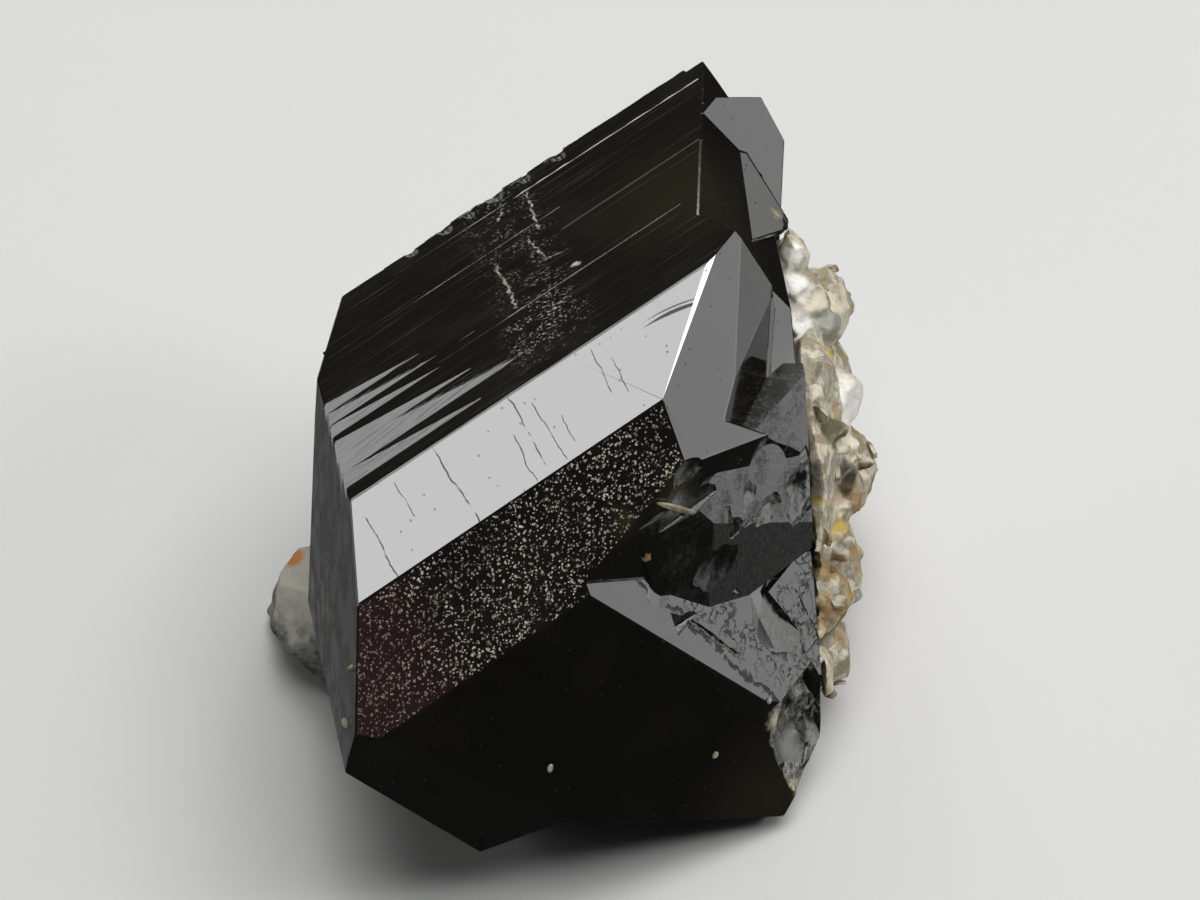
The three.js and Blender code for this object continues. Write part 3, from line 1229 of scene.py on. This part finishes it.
@dataclass
class CrystalGroup:
    """The intergrown black crystals, with their striations, bevelled edges and breaks.

    Attributes:
        edge: width of the worn edges between faces.
        worn_length: the shortest edge that is worn.
        worn_area: the smallest face, in square millimetres, that has worn edges.
        worn_turn: the smallest angle between two faces, in degrees, whose edge is worn.
        nose: width of the bright bevel's top end on each of its two faces.
        skin: how deep the striations' sheet lies below the striated face.
        steps: the broad growth steps.
        teeth: the grooves at the left end, each the place of its top along and across the
            striated face, and its width.
        groove_depth: how deep a groove's top lies.
        sheet_middle: the middle of the striations' sheet, along and across the face.
        sheet_half: half the sheet's length and width.
        sheet_cell: length and width of the sheet's cells.
        clearance: how far the sheet's body reaches up.
        strips: how many thin strips there are.
        strip_along: the first and last place along the zone where one starts.
        strip_across: the lowest and highest place across where one starts.
        strip_length: the shortest and longest of them.
        strip_width: the narrowest and widest of them.
        strip_heights: the heights that they take.
        craze_at: where the crazed patch crosses the middle of the striated face.
        craze_lean: how far it leans along for each millimetre across.
        block: the planes of the dark broken block, each a place and its facing.
        scuffed: the normals of the faces that are rubbed dull.
        grains: the stray grains of rock, each a place and a radius.
        sliver: the two ends of the pale sliver.
        sliver_half: half of its thickness and of its width.
        weld: the distance below which two vertices become one.
        seed: the seed of the strips.
    """

    edge: float = 0.07
    worn_length: float = 1.2
    worn_area: float = 2.5
    worn_turn: float = 9.0
    nose: float = 0.17
    skin: float = 0.06
    steps: tuple[Strip, ...] = (
        Strip((-1.2, 17.2), (7.7, 9.8), 0.015),
        Strip((1.5, 17.2), (8.1, 9.8), 0.015),
    )
    teeth: tuple[tuple[float, float, float], ...] = (
        (-9.0, 1.9, 0.8),
        (-9.2, 1.0, 0.9),
        (-9.6, 0.0, 0.9),
        (-9.8, -1.4, 1.1),
        (-10.4, -2.6, 1.3),
        (-10.8, -4.0, 1.15),
    )
    groove_depth: float = 0.03
    sheet_middle: tuple[float, float] = (2.5, 1.5)
    sheet_half: tuple[float, float] = (18.0, 9.5)
    sheet_cell: tuple[float, float] = (0.3, 0.1)
    clearance: float = 5.0
    strips: int = 34
    strip_along: tuple[float, float] = (-9, 12)
    strip_across: tuple[float, float] = (-6, 9)
    strip_length: tuple[float, float] = (3, 13)
    strip_width: tuple[float, float] = (0.15, 0.8)
    strip_heights: tuple[float, ...] = (-0.008, -0.004, 0.004, 0.008)
    craze_at: float = 2.3
    craze_lean: float = 0.42
    block: tuple[tuple[Point, tuple[float, float]], ...] = (
        ((6.5, -7.44, 13.77), (36.7, 6.5)),
        ((6.5, -7.44, 13.77), (47.5, 5.0)),
        ((7.68, -5.66, 17.57), (57.1, 18.0)),
        ((6.5, -7.44, 12.6), (40.0, -70.0)),
        ((5.0, -4.0, 16.0), (-130.0, 0.0)),
    )
    scuffed: tuple[Vector, ...] = (direction(-81, 7), direction(-16, -55))
    grains: tuple[tuple[Point, float], ...] = (
        ((-10.06, -16.68, 15.92), 0.26),
        ((-9.75, -16.14, 19.0), 0.2),
        ((-9.5, -16.3, 18.4), 0.14),
        ((-0.91, -14.62, 10.53), 0.17),
        ((6.85, -10.31, 6.59), 0.16),
        ((5.2, -11.4, 5.2), 0.12),
        ((9.42, -8.19, 8.06), 0.16),
        ((-0.19, -4.0, 26.05), 0.13),
        ((1.0, -6.9, 25.0), 0.22),
    )
    sliver: tuple[Point, Point] = ((4.0, -8.3, 21.6), (5.95, -6.95, 19.5))
    sliver_half: tuple[float, float] = (0.1, 0.16)
    weld: float = 0.001
    seed: int = 5
    finishes: dict[str, bpy.types.Material] = field(default_factory=dict)

    def _make_finishes(self) -> None:
        """Builds the materials that the crystal wears."""
        made = (
            CrystalFinish("growth_face"),
            StriatedFinish("striated_face", tint=(0.0085, 0.0075, 0.0055), roughness=0.1),
            StriatedFinish("grooved_face", roughness=0.07, relief=0.02),
            BrightFinish("bright_face", roughness=0.05),
            EtchedFinish("etched_face", roughness=0.14),
            # Painted shade: the mirror face, low by the floor, gets a darker body tint than the
            # other growth faces.
            CrystalFinish("mirror_face", tint=(0.0035, 0.0032, 0.0025), roughness=0.05),
            LedgeFinish("ledge_face", roughness=0.09),
            BrokenFinish("broken_face", dust=(0.2, 0.2, 0.17), roughness=0.14),
            BrokenFinish("pale_break", dust=(0.42, 0.4, 0.32), roughness=0.1, grit=0.03),
            BrokenFinish("scuffed_face", dust=(0.07, 0.07, 0.06), roughness=0.16, grit=0.006),
            BrokenFinish("dark_break", dust=(0.008, 0.008, 0.006), roughness=0.18, grit=0.03),
            FlakeFinish("stray_grain"),
        )
        self.finishes = {finish.name: finish.material() for finish in made}

    def _finish_for(self, normal: Vector, middle: Vector, corners: int, area: float) -> str:
        """Says which material a face wears.

        Args:
            normal: the face's normal.
            middle: its centre from the heart, in millimetres.
            corners: how many corners it has.
            area: its area in square millimetres.

        Returns:
            The material's name.
        """
        named = {
            "striated_face": STRIATED,
            "bright_face": BRIGHT,
            "etched_face": FROSTED,
            "mirror_face": MIRROR,
        }
        for name, face in named.items():
            height = middle.dot(face.outward) - face.distance
            if normal.dot(face.outward) > 0.9999 and abs(height) < 0.3:
                return name
        if normal.dot(GROOVE) > 0.998:
            return "grooved_face"
        on_ledge = abs(middle.dot(END) - LEDGE_DISTANCE) < 0.2 and middle.dot(LEDGE_UP) < 0
        if normal.dot(END) > 0.9999 and on_ledge:
            return "ledge_face"
        if max(normal.dot(scuffed) for scuffed in self.scuffed) > 0.98:
            return "scuffed_face"
        height = middle.dot(STRIATED.outward) - STRIATED.distance
        if -1.2 < height < 0.3 and normal.dot(STRIATED.outward) > 0.9:
            return "striated_face"
        if corners == 3 and area < 1.6:
            return "broken_face"
        return "growth_face"

    def _assign(self, piece: bpy.types.Object) -> None:
        """Gives each face its material, and shades the broken ones smooth."""
        names = list(self.finishes)
        for name in names:
            piece.data.materials.append(self.finishes[name])
        for polygon in piece.data.polygons:
            middle = polygon.center / MM - HEART
            name = self._finish_for(
                polygon.normal, middle, len(polygon.vertices), polygon.area / MM**2
            )
            polygon.material_index = names.index(name)
            polygon.use_smooth = name == "broken_face"

    def _bevel_nose(self, piece: bpy.types.Object) -> None:
        """Cuts the bright sliver between the bright face and the end face, wider to the top."""
        bright = (BRIGHT.outward, BRIGHT.distance)
        end = (END, END_DISTANCE)
        low = meeting(bright, end, (FROSTED.outward, FROSTED.distance))
        top = meeting(bright, end, (STRIATED.outward, STRIATED.distance))
        edge = (top - low).normalized()
        corners = []
        for face, other in ((BRIGHT.outward, END), (END, BRIGHT.outward)):
            side = face.cross(edge).normalized()
            corners.append(top + side * (-self.nose if side.dot(other) > 0 else self.nose))
        facing = (corners[0] - low).cross(corners[1] - low).normalized()
        if facing.dot(END) < 0:
            facing = -facing
        with Bench.editing(piece):
            Bench.slice(low * MM, facing)

    def _cut_grooves(self, piece: bpy.types.Object) -> None:
        """Cuts the saw-toothed grooves whose floors shine, tapering from the left end."""
        for along, across, width in self.teeth:
            cutter = Bench.primitive("groove", bpy.ops.mesh.primitive_cube_add, size=14 * MM)
            cutter.rotation_mode = "QUATERNION"
            place = Matrix((ZONE, STRIATED.across, STRIATED.outward)).transposed()
            cutter.rotation_quaternion = place.to_quaternion()
            cutter.location = STRIATED.place(along, across + 2.0) * MM
            Bench.settle(cutter)
            with Bench.editing(cutter):
                Bench.slice(STRIATED.place(along, across, -self.groove_depth) * MM, -GROOVE)
                Bench.slice(STRIATED.place(along, across - width) * MM, -STRIATED.across)
            cutter.data.materials.append(self.finishes["grooved_face"])
            Bench.cut(piece, cutter)

    @staticmethod
    def _cube(name: str, size: float, middle: Vector) -> bpy.types.Object:
        """A cube of a size in millimetres about a point of the part."""
        cube = Bench.primitive(
            name, bpy.ops.mesh.primitive_cube_add, size=size * MM, location=middle * MM
        )
        Bench.settle(cube)
        return cube

    def _grow_block(self, piece: bpy.types.Object) -> None:
        """Grows the dark broken block that stands on the ledge under the rough end."""
        middle = Vector((7.0, -3.5, 15.0))
        block = self._cube("block", 11, middle)
        with Bench.editing(block):
            for place, facing in self.block:
                Bench.slice(Vector(place) * MM, direction(*facing))
            Bench.slice(FROSTED.place(0, 0, -0.04) * MM, FROSTED.outward)
            Bench.slice((HEART + RIGHT * RIGHT_DISTANCE) * MM, RIGHT)
        block.data.materials.append(self.finishes["dark_break"])
        Bench.unite(piece, block)

    def _fill_ledge(self, piece: bpy.types.Object) -> None:
        """Closes the small dent at the ledge's right end, which the photo doesn't show."""
        filling = self._cube("filling", 4.4, Vector((10.2, -2.4, 9.6)))
        with Bench.editing(filling):
            Bench.slice((HEART + END * (LEDGE_DISTANCE - 0.01)) * MM, END)
            Bench.slice((HEART + RIGHT * (RIGHT_DISTANCE - 0.05)) * MM, RIGHT)
        filling.data.materials.append(self.finishes["ledge_face"])
        Bench.unite(piece, filling)

    def _sliver(self) -> bpy.types.Object:
        """Makes the pale sliver that lies on the dark block, as a thin curved ridge.

        Returns:
            The sliver.
        """
        sliver = Bench.primitive(
            "sliver", bpy.ops.mesh.primitive_uv_sphere_add, segments=24, ring_count=12, radius=MM
        )
        start, end = (Vector(place) for place in self.sliver)
        sliver.scale = (*self.sliver_half, (end - start).length / 2)
        sliver.rotation_mode = "QUATERNION"
        sliver.rotation_quaternion = (end - start).to_track_quat("Z", "Y")
        sliver.location = (start + end) / 2 * MM
        Bench.settle(sliver)
        return sliver

    def _stick_grains(self, piece: bpy.types.Object) -> None:
        """Grows the stray grains of rock onto the faces."""
        made = []
        for place, radius in self.grains:
            grain = Bench.primitive(
                "stray_grain",
                bpy.ops.mesh.primitive_ico_sphere_add,
                subdivisions=2,
                radius=radius * MM,
                location=Vector(place) * MM,
            )
            grain.scale = (1.3, 0.8, 0.9)
            grain.rotation_euler = place
            Bench.settle(grain)
            made.append(grain)
        made.append(self._sliver())
        Bench.take(*made)
        bpy.ops.object.join()
        grains = bpy.context.active_object
        grains.data.materials.append(self.finishes["stray_grain"])
        Bench.unite(piece, grains)

    def _wear_edges(self, piece: bpy.types.Object) -> None:
        """Bevels the long edges between the main faces."""
        mesh = piece.data
        faces_of: dict[tuple[int, int], list[bpy.types.MeshPolygon]] = {}
        for polygon in mesh.polygons:
            for key in polygon.edge_keys:
                faces_of.setdefault(key, []).append(polygon)
        for part in (mesh.polygons, mesh.edges, mesh.vertices):
            for item in part:
                item.select = False
        for edge in mesh.edges:
            faces = faces_of[edge.key]
            start, end = (mesh.vertices[i].co for i in edge.vertices)
            long = (end - start).length > self.worn_length * MM
            broad = all(face.area > self.worn_area * MM**2 for face in faces)
            turn = faces[0].normal.angle(faces[-1].normal)
            edge.select = long and broad and turn > math.radians(self.worn_turn)
        with Bench.editing(piece):
            bpy.ops.mesh.select_mode(type="EDGE")
            bpy.ops.mesh.bevel(offset=self.edge * MM, segments=1, affect="EDGES")

    def _striations(self) -> bpy.types.Object:
        """Makes the cutter that leaves the striated face stepped and lined.

        Returns:
            A closed object that lies on the striated face.
        """
        half, cell = self.sheet_half, self.sheet_cell
        sheet = Bench.primitive(
            "striations",
            bpy.ops.mesh.primitive_grid_add,
            x_subdivisions=round(2 * half[0] / cell[0]),
            y_subdivisions=round(2 * half[1] / cell[1]),
            size=2,
        )
        sheet.scale = (*half, 1)
        sheet.location = (*self.sheet_middle, -self.skin)
        Bench.settle(sheet)
        self._raise_strips(sheet)
        Relief(Pattern.GRAINY, 0.03, 0.45, (26, 1, 1)).press(sheet)
        Relief(Pattern.GRAINY, 0.05, 1.6, (9, 1, 1), (3, 5, 1)).press(sheet)
        self._craze(sheet)
        Bench.thicken(sheet, self.clearance)
        place = Matrix((ZONE, STRIATED.across, STRIATED.outward)).transposed().to_4x4()
        origin = Matrix.Translation(STRIATED.place(0, 0) * MM)
        sheet.matrix_world = origin @ place @ Matrix.Scale(MM, 4)
        Bench.settle(sheet)
        sheet.data.materials.append(self.finishes["striated_face"])
        return sheet

    def _raise_strips(self, sheet: bpy.types.Object) -> None:
        """Raises the broad steps, and many thin strips at random, on the striations' sheet."""
        chance = random.Random(self.seed)
        strips = list(self.steps)
        for _ in range(self.strips):
            start = chance.uniform(*self.strip_along)
            low = chance.uniform(*self.strip_across)
            along = (start, start + chance.uniform(*self.strip_length))
            across = (low, low + chance.uniform(*self.strip_width))
            strips.append(Strip(along, across, chance.choice(self.strip_heights)))
        for strip in strips:
            for vertex in sheet.data.vertices:
                vertex.select = strip.holds(vertex.co.x, vertex.co.y)
            with Bench.editing(sheet):
                bpy.ops.mesh.select_mode(type="VERT")
                bpy.ops.transform.translate(value=(0, 0, strip.height))

    def _craze(self, sheet: bpy.types.Object) -> None:
        """Roughens the broken patch in the middle of the striated face, and its upper edge."""
        group = sheet.vertex_groups.new(name="crazed")
        for vertex in sheet.data.vertices:
            x, y, _ = vertex.co
            away = abs(x - self.craze_lean * y - self.craze_at)
            patch = max(0.0, 1 - away / 3.0) * min(1.0, max(0.0, (y + 5.5) / 3))
            rim = min(1.0, max(0.0, (y - 7.4) / 1.2))
            weight = max(patch, rim)
            if weight > 0:
                group.add([vertex.index], weight, "REPLACE")
        Relief(Pattern.GRAINY, 0.13, 0.6, (1.6, 1, 1), (7, 2, 4)).press(sheet, group="crazed")

    def _breaks(self) -> tuple[Chisel, ...]:
        """The broken places, each at a point of the surface, in the part's millimetres."""
        grit = Relief(Pattern.GRAINY, 0.14, 0.6)
        rough = Relief(Pattern.GRAINY, 0.35, 1.6, origin=(3, 1, 2))
        shards = (Relief(Pattern.CELLS, 0.5, 1.6, (1, 1.6, 1)), Relief(Pattern.GRAINY, 0.1, 0.5))
        shells = Relief(Pattern.RIPPLES, 0.05, 3.2, origin=(-3, 2, 0))
        coarse = Relief(Pattern.GRAINY, 1.2, 5.0, origin=(9, 4, 1))
        back_grit = Relief(Pattern.GRAINY, 0.35, 1.3)
        flaws = (Relief(Pattern.GRAINY, 0.2, 0.7, origin=(5, 3, 2)), grit)
        ledge = (58.6, 26.9)
        dark, pale = "dark_break", "pale_break"
        return (
            Chisel((8.9, -3.3, 18.7), (50, 9), (3.0, 2.0), 0.25, 0.3, 0.1, (rough, grit)),
            Chisel((9.3, -3.7, 16.5), (57, 16), (3.4, 1.6), 0.22, 0.28, 0.1, (rough, grit)),
            Chisel((10.4, -1.9, 15.9), (64, 12), (1.7, 1.5), 0.22, 0.28, 0.1, (rough, grit)),
            Chisel((6.35, -8.37, 13.07), ledge, (4.9, 0.24), 0.1, 0.04, 0.06, (flaws[0],), -63),
            Chisel((8.7, -6.5, 11.2), ledge, (2.4, 1.1), 0.0, 0.05, 0.08, flaws, -63),
            Chisel((10.5, -5.2, 9.2), ledge, (1.7, 1.3), 0.0, 0.04, 0.08, flaws),
            Chisel((10.5, -7.1, 4.5), (64, 14), (2.2, 3.0), 0.35, 0.3, 0.1, shards, 0, pale),
            Chisel((11.2, -7.6, 2.2), (66, -6), (1.8, 2.2), 0.3, 0.3, 0.1, shards, 0, pale),
            Chisel((6.9, -6.7, 15.9), (43, 4), (3.3, 1.9), 0.3, 0.2, 0.1, (shells,), 0, dark),
            Chisel((5.3, -6.9, 20.9), (46, 4), (1.9, 1.2), 0.25, 0.08, 0.08, (), 0, dark),
            Chisel((4.5, 15.3, 10.1), (168, -14), (9, 7), 1.1, 1.0, 0.25, (coarse, back_grit)),
            Chisel((-5.6, 10.5, 8.0), (-150, -30), (8, 7), 1.1, 1.0, 0.25, (coarse, back_grit)),
            Chisel((-5.8, 11.0, 15.0), (-135, 12), (5, 4), 0.8, 0.8, 0.2, (coarse, shells)),
            Chisel((10.0, 8.0, 21.0), (94, 18), (3.4, 2.4), 0.3, 0.6, 0.14, (rough, grit)),
            Chisel((-4.0, -14.2, 3.0), (-16, -55), (5, 3), 0.3, 0.6, 0.15, (rough, grit)),
        )

    def _nicks(self) -> list[Chisel]:
        """The small breaks along the upper edge of the striated face."""
        grit = Relief(Pattern.GRAINY, 0.16, 0.6)
        places = ((0.6, 0.5), (2.6, 0.6), (4.0, 0.45), (5.6, 0.7), (7.3, 0.5), (9.4, 0.55))
        made = []
        for along, half in places:
            at = tuple(STRIATED.place(along, 9.0))
            made.append(Chisel(at, (-135, 42), (half, half), 0.28, 0.2, 0.08, (grit,)))
        return made

    def build(self) -> bpy.types.Object:
        """Models and dresses the crystal group.

        Returns:
            The finished piece.
        """
        self._make_finishes()
        piece = Bench.copy_of_node("cassiterite_crystal", "crystal_group")
        self._bevel_nose(piece)
        self._wear_edges(piece)
        self._assign(piece)
        self._cut_grooves(piece)
        Bench.cut(piece, self._striations())
        self._grow_block(piece)
        self._fill_ledge(piece)
        for chisel in (*self._breaks(), *self._nicks()):
            Bench.cut(piece, chisel.cutter(self.finishes[chisel.finish]))
        self._stick_grains(piece)
        with Bench.editing(piece):
            bpy.ops.mesh.select_all(action="SELECT")
            bpy.ops.mesh.remove_doubles(threshold=self.weld * MM)
        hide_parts("cassiterite_crystal")
        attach(piece, "root")
        return piece


@dataclass
class MotherRock:
    """The crust of quartz and mica down the right side.

    Attributes:
        grains: how many small angular grains stand between the lumps.
        size: the smallest and largest grain.
        voxel: the mesh's cell size.
        flakes: how many mica flakes lie on it.
        flake_radius: the smallest and largest flake.
        flake_depth: the thinnest and thickest flake.
        seed: the seed of the scatter.
    """

    grains: int = 60
    size: tuple[float, float] = (0.25, 0.6)
    voxel: float = 0.11
    flakes: int = 26
    flake_radius: tuple[float, float] = (0.35, 0.75)
    flake_depth: tuple[float, float] = (0.08, 0.2)
    seed: int = 11

    def _grain(
        self, at: Vector, radius: float, chance: random.Random, stretch: Point = (1, 1, 1)
    ) -> bpy.types.Object:
        """An angular grain: a ball with random faces cut on it.

        Args:
            at: its centre in metres.
            radius: its radius in metres.
            chance: the source of random numbers.
            stretch: how much longer it is along x, y and z.

        Returns:
            The grain.
        """
        grain = Bench.primitive(
            "grain", bpy.ops.mesh.primitive_ico_sphere_add, subdivisions=3, radius=radius
        )
        with Bench.editing(grain):
            for _ in range(9):
                facing = direction(chance.uniform(0, 360), chance.uniform(-80, 80))
                Bench.slice(facing * radius * chance.uniform(0.55, 0.8), facing)
        grain.scale = stretch
        grain.location = at
        Bench.settle(grain)
        return grain

    def _spots(
        self, crust: bpy.types.Object, count: int, chance: random.Random
    ) -> list[tuple[Vector, Vector]]:
        """Picks places on the crust's outside.

        Args:
            crust: the crust.
            count: how many places.
            chance: the source of random numbers.

        Returns:
            Each place with the normal there.
        """
        faces = [
            p for p in crust.data.polygons if p.normal.x > -0.2 and p.area > 0.02 * MM**2
        ]
        areas = [p.area for p in faces]
        picked = chance.choices(faces, weights=areas, k=count)
        return [(p.center.copy(), p.normal.copy()) for p in picked]

    def build(self) -> list[bpy.types.Object]:
        """Models and dresses the crust and its flakes.

        Returns:
            The finished pieces.
        """
        chance = random.Random(self.seed)
        crust = Bench.copy_of_node("quartz_mica_crust", "mother_rock")
        spots = self._spots(crust, self.grains, chance)
        flakes = self._flakes(self._spots(crust, self.flakes, chance), chance)
        grains = []
        for lump in LUMPS:
            at = Vector(lump.at) * MM
            grains.append(self._grain(at, lump.radius * MM, chance, lump.stretch))
        for place, normal in spots:
            radius = chance.uniform(*self.size) * MM
            grains.append(self._grain(place - normal * radius * 0.35, radius, chance))
        Bench.take(crust, *grains)
        bpy.ops.object.join()
        Bench.finish_with(crust, "REMESH", mode="VOXEL", voxel_size=self.voxel * MM)
        self._roughen(crust)
        self._trim(crust)
        self._trim(flakes)
        Bench.smooth(crust, 40)
        crust.data.materials.clear()
        crust.data.materials.append(RockFinish("mother_rock").material())
        flakes.data.materials.append(FlakeFinish("mica").material())
        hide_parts("quartz_mica_crust")
        for piece in (crust, flakes):
            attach(piece, "root")
        return [crust, flakes]

    def _roughen(self, crust: bpy.types.Object) -> None:
        """Presses grain and pores into the crust."""
        with Bench.in_millimetres(crust):
            Relief(Pattern.GRAINY, 0.16, 1.1).press(crust, "NORMAL")
            Relief(Pattern.CELLS, 0.1, 0.6).press(crust, "NORMAL")

    def _trim(self, piece: bpy.types.Object) -> None:
        """Cuts off what stands out beyond the right side of the solids' box, or under the ground.
        """
        low, high = CAD_BOX
        planes = (
            (Vector((high.x, 0, 0)), Vector((1, 0, 0))),
            (Vector((0, 0, low.z)), Vector((0, 0, -1))),
        )
        with Bench.editing(piece):
            for place, facing in planes:
                Bench.slice(place, facing)

    def _flakes(
        self, spots: list[tuple[Vector, Vector]], chance: random.Random
    ) -> bpy.types.Object:
        """Lays thin six-sided mica flakes on the crust.

        Args:
            spots: places and normals on the crust.
            chance: the source of random numbers.

        Returns:
            All the flakes as one piece.
        """
        made = []
        for place, normal in spots:
            flake = Bench.primitive(
                "flake",
                bpy.ops.mesh.primitive_cylinder_add,
                vertices=6,
                radius=chance.uniform(*self.flake_radius) * MM,
                depth=chance.uniform(*self.flake_depth) * MM,
            )
            lean = Vector([chance.uniform(-0.7, 0.7) for _ in range(3)])
            flake.rotation_mode = "QUATERNION"
            flake.rotation_quaternion = (normal + lean).to_track_quat("Z", "Y")
            flake.location = place + normal * 0.12 * MM
            flake.scale = (1, chance.uniform(0.6, 1), 1)
            Bench.settle(flake)
            made.append(flake)
        Bench.take(*made)
        bpy.ops.object.join()
        return Bench.added("mica_flakes")


@dataclass
class QuartzGrain:
    """The quartz grain under the overhang at the left.

    Attributes:
        edge: width of its worn edges.
        voxel: the mesh's cell size.
    """

    edge: float = 0.12
    voxel: float = 0.14

    def build(self) -> bpy.types.Object:
        """Models and dresses the grain.

        Returns:
            The finished piece.
        """
        piece = Bench.copy_of_node("quartz_grain", "left_quartz_grain")
        Bench.finish_with(
            piece, "BEVEL", width=self.edge * MM, segments=2, limit_method="ANGLE"
        )
        Bench.finish_with(piece, "REMESH", mode="VOXEL", voxel_size=self.voxel * MM)
        with Bench.in_millimetres(piece):
            Relief(Pattern.GRAINY, 0.3, 1.9).press(piece, "NORMAL", middle=0.7)
            Relief(Pattern.CELLS, 0.1, 1.1).press(piece, "NORMAL", middle=0.8)
        with Bench.editing(piece):
            Bench.slice(Vector(), Vector((0, 0, -1)))
        Bench.smooth(piece, 30)
        piece.data.materials.append(QuartzFinish("quartz").material())
        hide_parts("quartz_grain")
        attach(piece, "root")
        return piece


@dataclass(frozen=True)
class Softbox:
    """A soft light seen from the crystal.

    Attributes:
        name: the light's name.
        bearing: where it stands, 0 to the front and 90 to the right.
        tilt: how high it stands, in degrees.
        spread: its width and height in degrees, as the crystal sees it.
        brightness: the radiance of its face.
    """

    name: str
    bearing: float
    tilt: float
    spread: tuple[float, float]
    brightness: float

    REACH = 0.6

    def hang(self) -> None:
        """Adds the light."""
        bpy.ops.object.select_all(action="DESELECT")
        aim = Vector((0, 0, 0.018))
        out = direction(self.bearing, self.tilt)
        bpy.ops.object.light_add(type="AREA", location=aim + out * self.REACH)
        lamp = bpy.context.active_object
        lamp.name = self.name
        width, height = (2 * self.REACH * math.tan(math.radians(a / 2)) for a in self.spread)
        lamp.data.shape = "RECTANGLE"
        lamp.data.size = width
        lamp.data.size_y = height
        lamp.data.energy = math.pi * self.brightness * width * height
        lamp.rotation_mode = "QUATERNION"
        lamp.rotation_quaternion = out.to_track_quat("Z", "Y")
        lamp.visible_camera = False


@dataclass
class Studio:
    """The pale floor, the lights and the camera."""

    lens: float = 158.4
    eye: Point = (1.399, -176.99, 193.71)
    aim: Point = (1.399, -7.283, 24.0)
    floor: Colour = (0.66, 0.66, 0.65)
    surround: Colour = (0.015, 0.0155, 0.0155)
    backdrop: Colour = (0.5, 0.5, 0.5)
    softboxes: tuple[Softbox, ...] = (
        Softbox("overhead", 65, 80, (44, 44), 4.9),
        Softbox("behind", -155, 52, (26, 26), 2.2),
        Softbox("right", 100, -8, (28, 40), 1.27),
        Softbox("far_right", 138, 5, (14, 10), 0.8),
        Softbox("low_right", 119, -28, (13, 14), 0.62),
        Softbox("under_right", 108, -44, (13, 10), 0.6),
        Softbox("under_far", 130, -40, (16, 12), 0.22),
        Softbox("grazing", -149, -41, (36, 36), 0.12),
        Softbox("sparkle", 81, 36, (12, 12), 14.0),
        Softbox("rim", 162, 24, (14, 12), 5.0),
        Softbox("left", -104, 14, (44, 50), 0.8),
        Softbox("back", -180, -8, (20, 24), 0.7),
    )

    def build(self) -> None:
        """Lays the floor, hangs the lights and sets up the camera."""
        self._lay_floor()
        self._light()
        self._aim_camera()

    def _lay_floor(self) -> None:
        """Adds the floor, which the crystal's faces don't mirror."""
        bpy.ops.object.select_all(action="DESELECT")
        bpy.ops.mesh.primitive_plane_add(size=4, location=(0, 0, 0))
        floor = Bench.added("floor")
        desk = Desk("floor")
        floor.data.materials.append(desk.surface(Base_Color=self.floor, Roughness=0.9))
        floor.visible_glossy = False

    def _light(self) -> None:
        """Hangs the softboxes in a dark room, which the camera sees as pale."""
        for softbox in self.softboxes:
            softbox.hang()
        world = bpy.data.worlds.new("studio")
        world.use_nodes = True
        bpy.context.scene.world = world
        tree = world.node_tree
        tree.nodes.clear()
        path = tree.nodes.new("ShaderNodeLightPath")
        room, view = (tree.nodes.new("ShaderNodeBackground") for _ in range(2))
        room.inputs["Color"].default_value = (*self.surround, 1)
        view.inputs["Color"].default_value = (*self.backdrop, 1)
        choice = tree.nodes.new("ShaderNodeMixShader")
        output = tree.nodes.new("ShaderNodeOutputWorld")
        tree.links.new(path.outputs["Is Camera Ray"], choice.inputs[0])
        tree.links.new(room.outputs[0], choice.inputs[1])
        tree.links.new(view.outputs[0], choice.inputs[2])
        tree.links.new(choice.outputs[0], output.inputs["Surface"])
        bpy.context.scene.view_settings.view_transform = "Standard"

    def _aim_camera(self) -> None:
        """Puts the camera where the photograph was taken from."""
        eye, aim = Vector(self.eye) * MM, Vector(self.aim) * MM
        bpy.ops.object.camera_add(location=eye)
        camera = bpy.context.active_object
        camera.data.lens = self.lens
        camera.data.sensor_width = 36
        camera.data.clip_start = 0.01
        camera.data.clip_end = 20
        camera.rotation_mode = "QUATERNION"
        camera.rotation_quaternion = (aim - eye).to_track_quat("-Z", "Y")
        bpy.context.scene.camera = camera


def main() -> None:
    """Builds every piece in order, then the studio."""
    logging.basicConfig(level=logging.INFO, format="%(message)s")
    pieces = [CrystalGroup().build(), *MotherRock().build(), QuartzGrain().build()]
    for piece in pieces:
        log.info("%s: %d faces", piece.name, len(piece.data.polygons))
    Studio().build()


if __name__ == "__main__":
    main()
